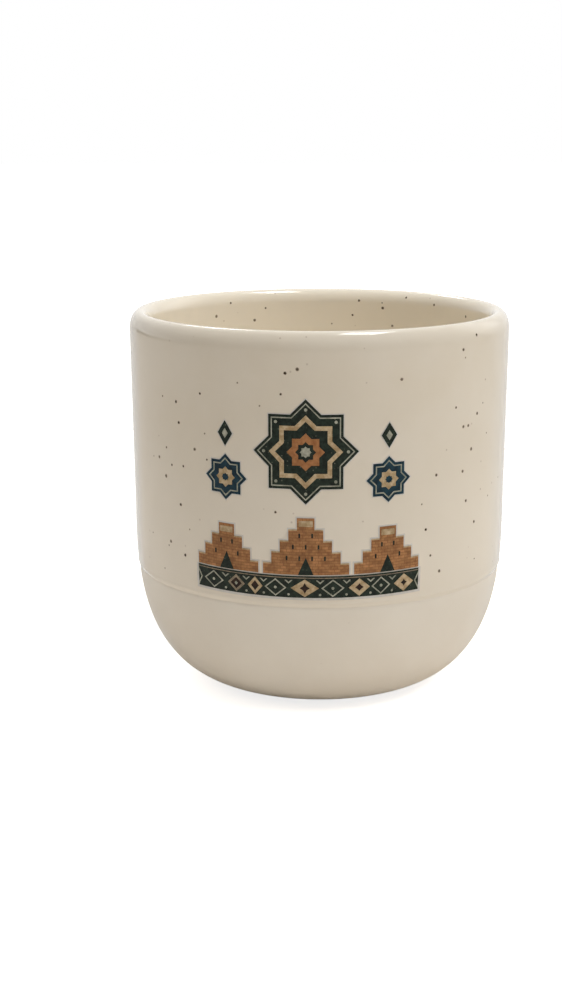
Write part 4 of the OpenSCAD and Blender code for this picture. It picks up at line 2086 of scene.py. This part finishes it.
@dataclass(frozen=True)
class Studio:
    """Pale floor, soft light and the camera at the photograph's viewing angle."""

    form: CupForm
    image_w: int = 562
    image_h: int = 1000
    focal_px: float = 1646.2
    axis_px: float = 318.46
    camera_back: float = 0.3045
    camera_up: float = 0.10587
    pitch: float = 13.38
    roll: float = 0.18
    sensor_w: float = 36.0
    floor_half: float = 3.0
    floor_tone: str = "f6f0e8"
    floor_glow: Point = (0.79, 1.0)
    glow_reach: Point = (0.12, 0.5)
    backdrop: float = 1.0
    backdrop_spread: Point = (0.94, 1.1)
    backdrop_tilt: float = 0.213
    backdrop_mirrored: float = 0.85
    front_mirrored: float = 0.2
    dim_reach: Point = (-0.3, 0.55)
    ambient: float = 0.08
    lamps: tuple[Softbox, ...] = (
        Softbox("key_softbox", (0.54, -0.46, 0.80), 0.62, 0.22, 3.9, mirrored=False),
        Softbox("top_softbox", (0.25, 0.0, 1.00), 0.42, 0.26, 4.2),
        Softbox("back_spot", (-0.22, 0.74, 0.69), 0.16, 0.16, 0.9),
        Softbox("left_softbox", (-0.74, -0.20, 0.62), 0.36, 0.20, 0.6, mirrored=False),
        Softbox("back_left_softbox", (-0.50, 0.20, 0.80), 0.60, 0.60, 2.2, mirrored=False),
        Softbox("back_right_softbox", (0.80, 0.50, 0.50), 0.60, 0.60, 0.9),
    )

    def build_world(self) -> None:
        """Lights the room evenly, shows it white, and mirrors it dim towards the front."""
        world = bpy.data.worlds.new("studio_room")
        world.use_nodes = True
        world.node_tree.nodes.clear()
        sheet = Sheet(world.node_tree)
        rays = sheet.add("ShaderNodeLightPath").outputs
        towards = sheet.add("ShaderNodeTexCoord").outputs["Generated"]
        direction = sheet.add("ShaderNodeSeparateXYZ", Vector=towards).outputs
        mirrored = sheet.spread(
            direction["Y"], *self.dim_reach, self.front_mirrored, self.backdrop)
        unseen = sheet.spread(rays["Is Glossy Ray"], 0.0, 1.0, self.ambient, mirrored)
        strength = sheet.spread(rays["Is Camera Ray"], 0.0, 1.0, unseen, self.backdrop)
        room = sheet.add("ShaderNodeBackground", Color=WHITE, Strength=strength)
        sheet.add("ShaderNodeOutputWorld", Surface=room.outputs[0])
        bpy.context.scene.world = world

    def behind(self, sheet: Sheet) -> Socket:
        """Masks the stretch of floor behind the cup that a gloss mirrors as white backdrop.

        Args:
            sheet: Sheet of the floor's material.

        Returns:
            A socket that is 1 on that stretch.
        """
        axes = sheet.axes()
        middle = sheet.math("MULTIPLY", axes["Y"], self.backdrop_tilt)
        aside = sheet.math("ABSOLUTE", sheet.math("SUBTRACT", axes["X"], middle))
        past_wall = sheet.math("SUBTRACT", aside, self.form.radius * MM)
        reach = sheet.math("DIVIDE", past_wall, axes["Y"])
        full, none = self.backdrop_spread
        narrow = sheet.spread(reach, none, full)
        return sheet.math("MULTIPLY", narrow, sheet.math("GREATER_THAN", axes["Y"], 0.0))

    def build_floor(self) -> None:
        """Lays the floor, which shows white and keeps the cup's shadow."""
        half = self.floor_half
        corners = [Vector((x, y, 0)) for x, y in rectangle(-half, half, -half, half)]
        floor = finish_mesh("floor", corners, [tuple(range(len(corners)))])
        material, sheet = new_material("floor_paper")
        paper = sheet.add("ShaderNodeBsdfDiffuse", Color=(*linear(self.floor_tone), 1.0))
        strength = sheet.spread(
            sheet.axis_distance(), *self.glow_reach, *self.floor_glow, smooth=True)
        glow = sheet.add("ShaderNodeEmission", Color=WHITE, Strength=strength)
        lit = sheet.add("ShaderNodeAddShader")
        rays = sheet.add("ShaderNodeLightPath").outputs
        shown = sheet.add("ShaderNodeMixShader", Fac=rays["Is Camera Ray"])
        backdrop = sheet.add("ShaderNodeEmission", Color=WHITE, Strength=self.backdrop_mirrored)
        behind = sheet.math("MULTIPLY", rays["Is Glossy Ray"], self.behind(sheet))
        mirrored = sheet.add("ShaderNodeMixShader", Fac=behind)
        for shader, *parts in (
            (lit, paper, glow), (shown, paper, lit), (mirrored, shown, backdrop),
        ):
            for socket, part in zip(list(shader.inputs)[-2:], parts):
                sheet.feed(socket, part.outputs[0])
        close_material(sheet, mirrored)
        floor.data.materials.append(material)

    def build_camera(self) -> None:
        """Sets the camera where the photograph was taken from."""
        data = bpy.data.cameras.new("camera")
        data.sensor_width = self.sensor_w
        data.lens = self.sensor_w * self.focal_px / self.image_h
        yaw = math.degrees(math.atan((self.axis_px - self.image_w / 2) / self.focal_px))
        camera = bpy.data.objects.new("camera", data)
        camera.rotation_mode = "XYZ"
        camera.location = (0.0, -self.camera_back, self.camera_up)
        turns = (90 - self.pitch, self.roll, yaw)
        camera.rotation_euler = [math.radians(turn) for turn in turns]
        bpy.context.scene.collection.objects.link(camera)
        bpy.context.scene.camera = camera

    def build(self) -> None:
        """Builds the studio round the cup."""
        self.build_world()
        self.build_floor()
        self.build_camera()
        for lamp in self.lamps:
            lamp.build(Vector((0, 0, self.form.height / 2 * MM)))
        bpy.context.scene.view_settings.view_transform = "Standard"


def main() -> None:
    """Builds the cup's pieces in order, and the studio round them."""
    logging.basicConfig(level=logging.INFO, format="%(name)s: %(message)s")
    form = form_from_frame()
    finishes = FinishSet()
    StonewareBody(form).build(finishes)
    GlazeCoats(form).build(finishes)
    IronSpecks(form).build(finishes)
    FiredPrint(PrintCanvas(form)).build(finishes)
    Studio(form).build()


if __name__ == "__main__":
    main()
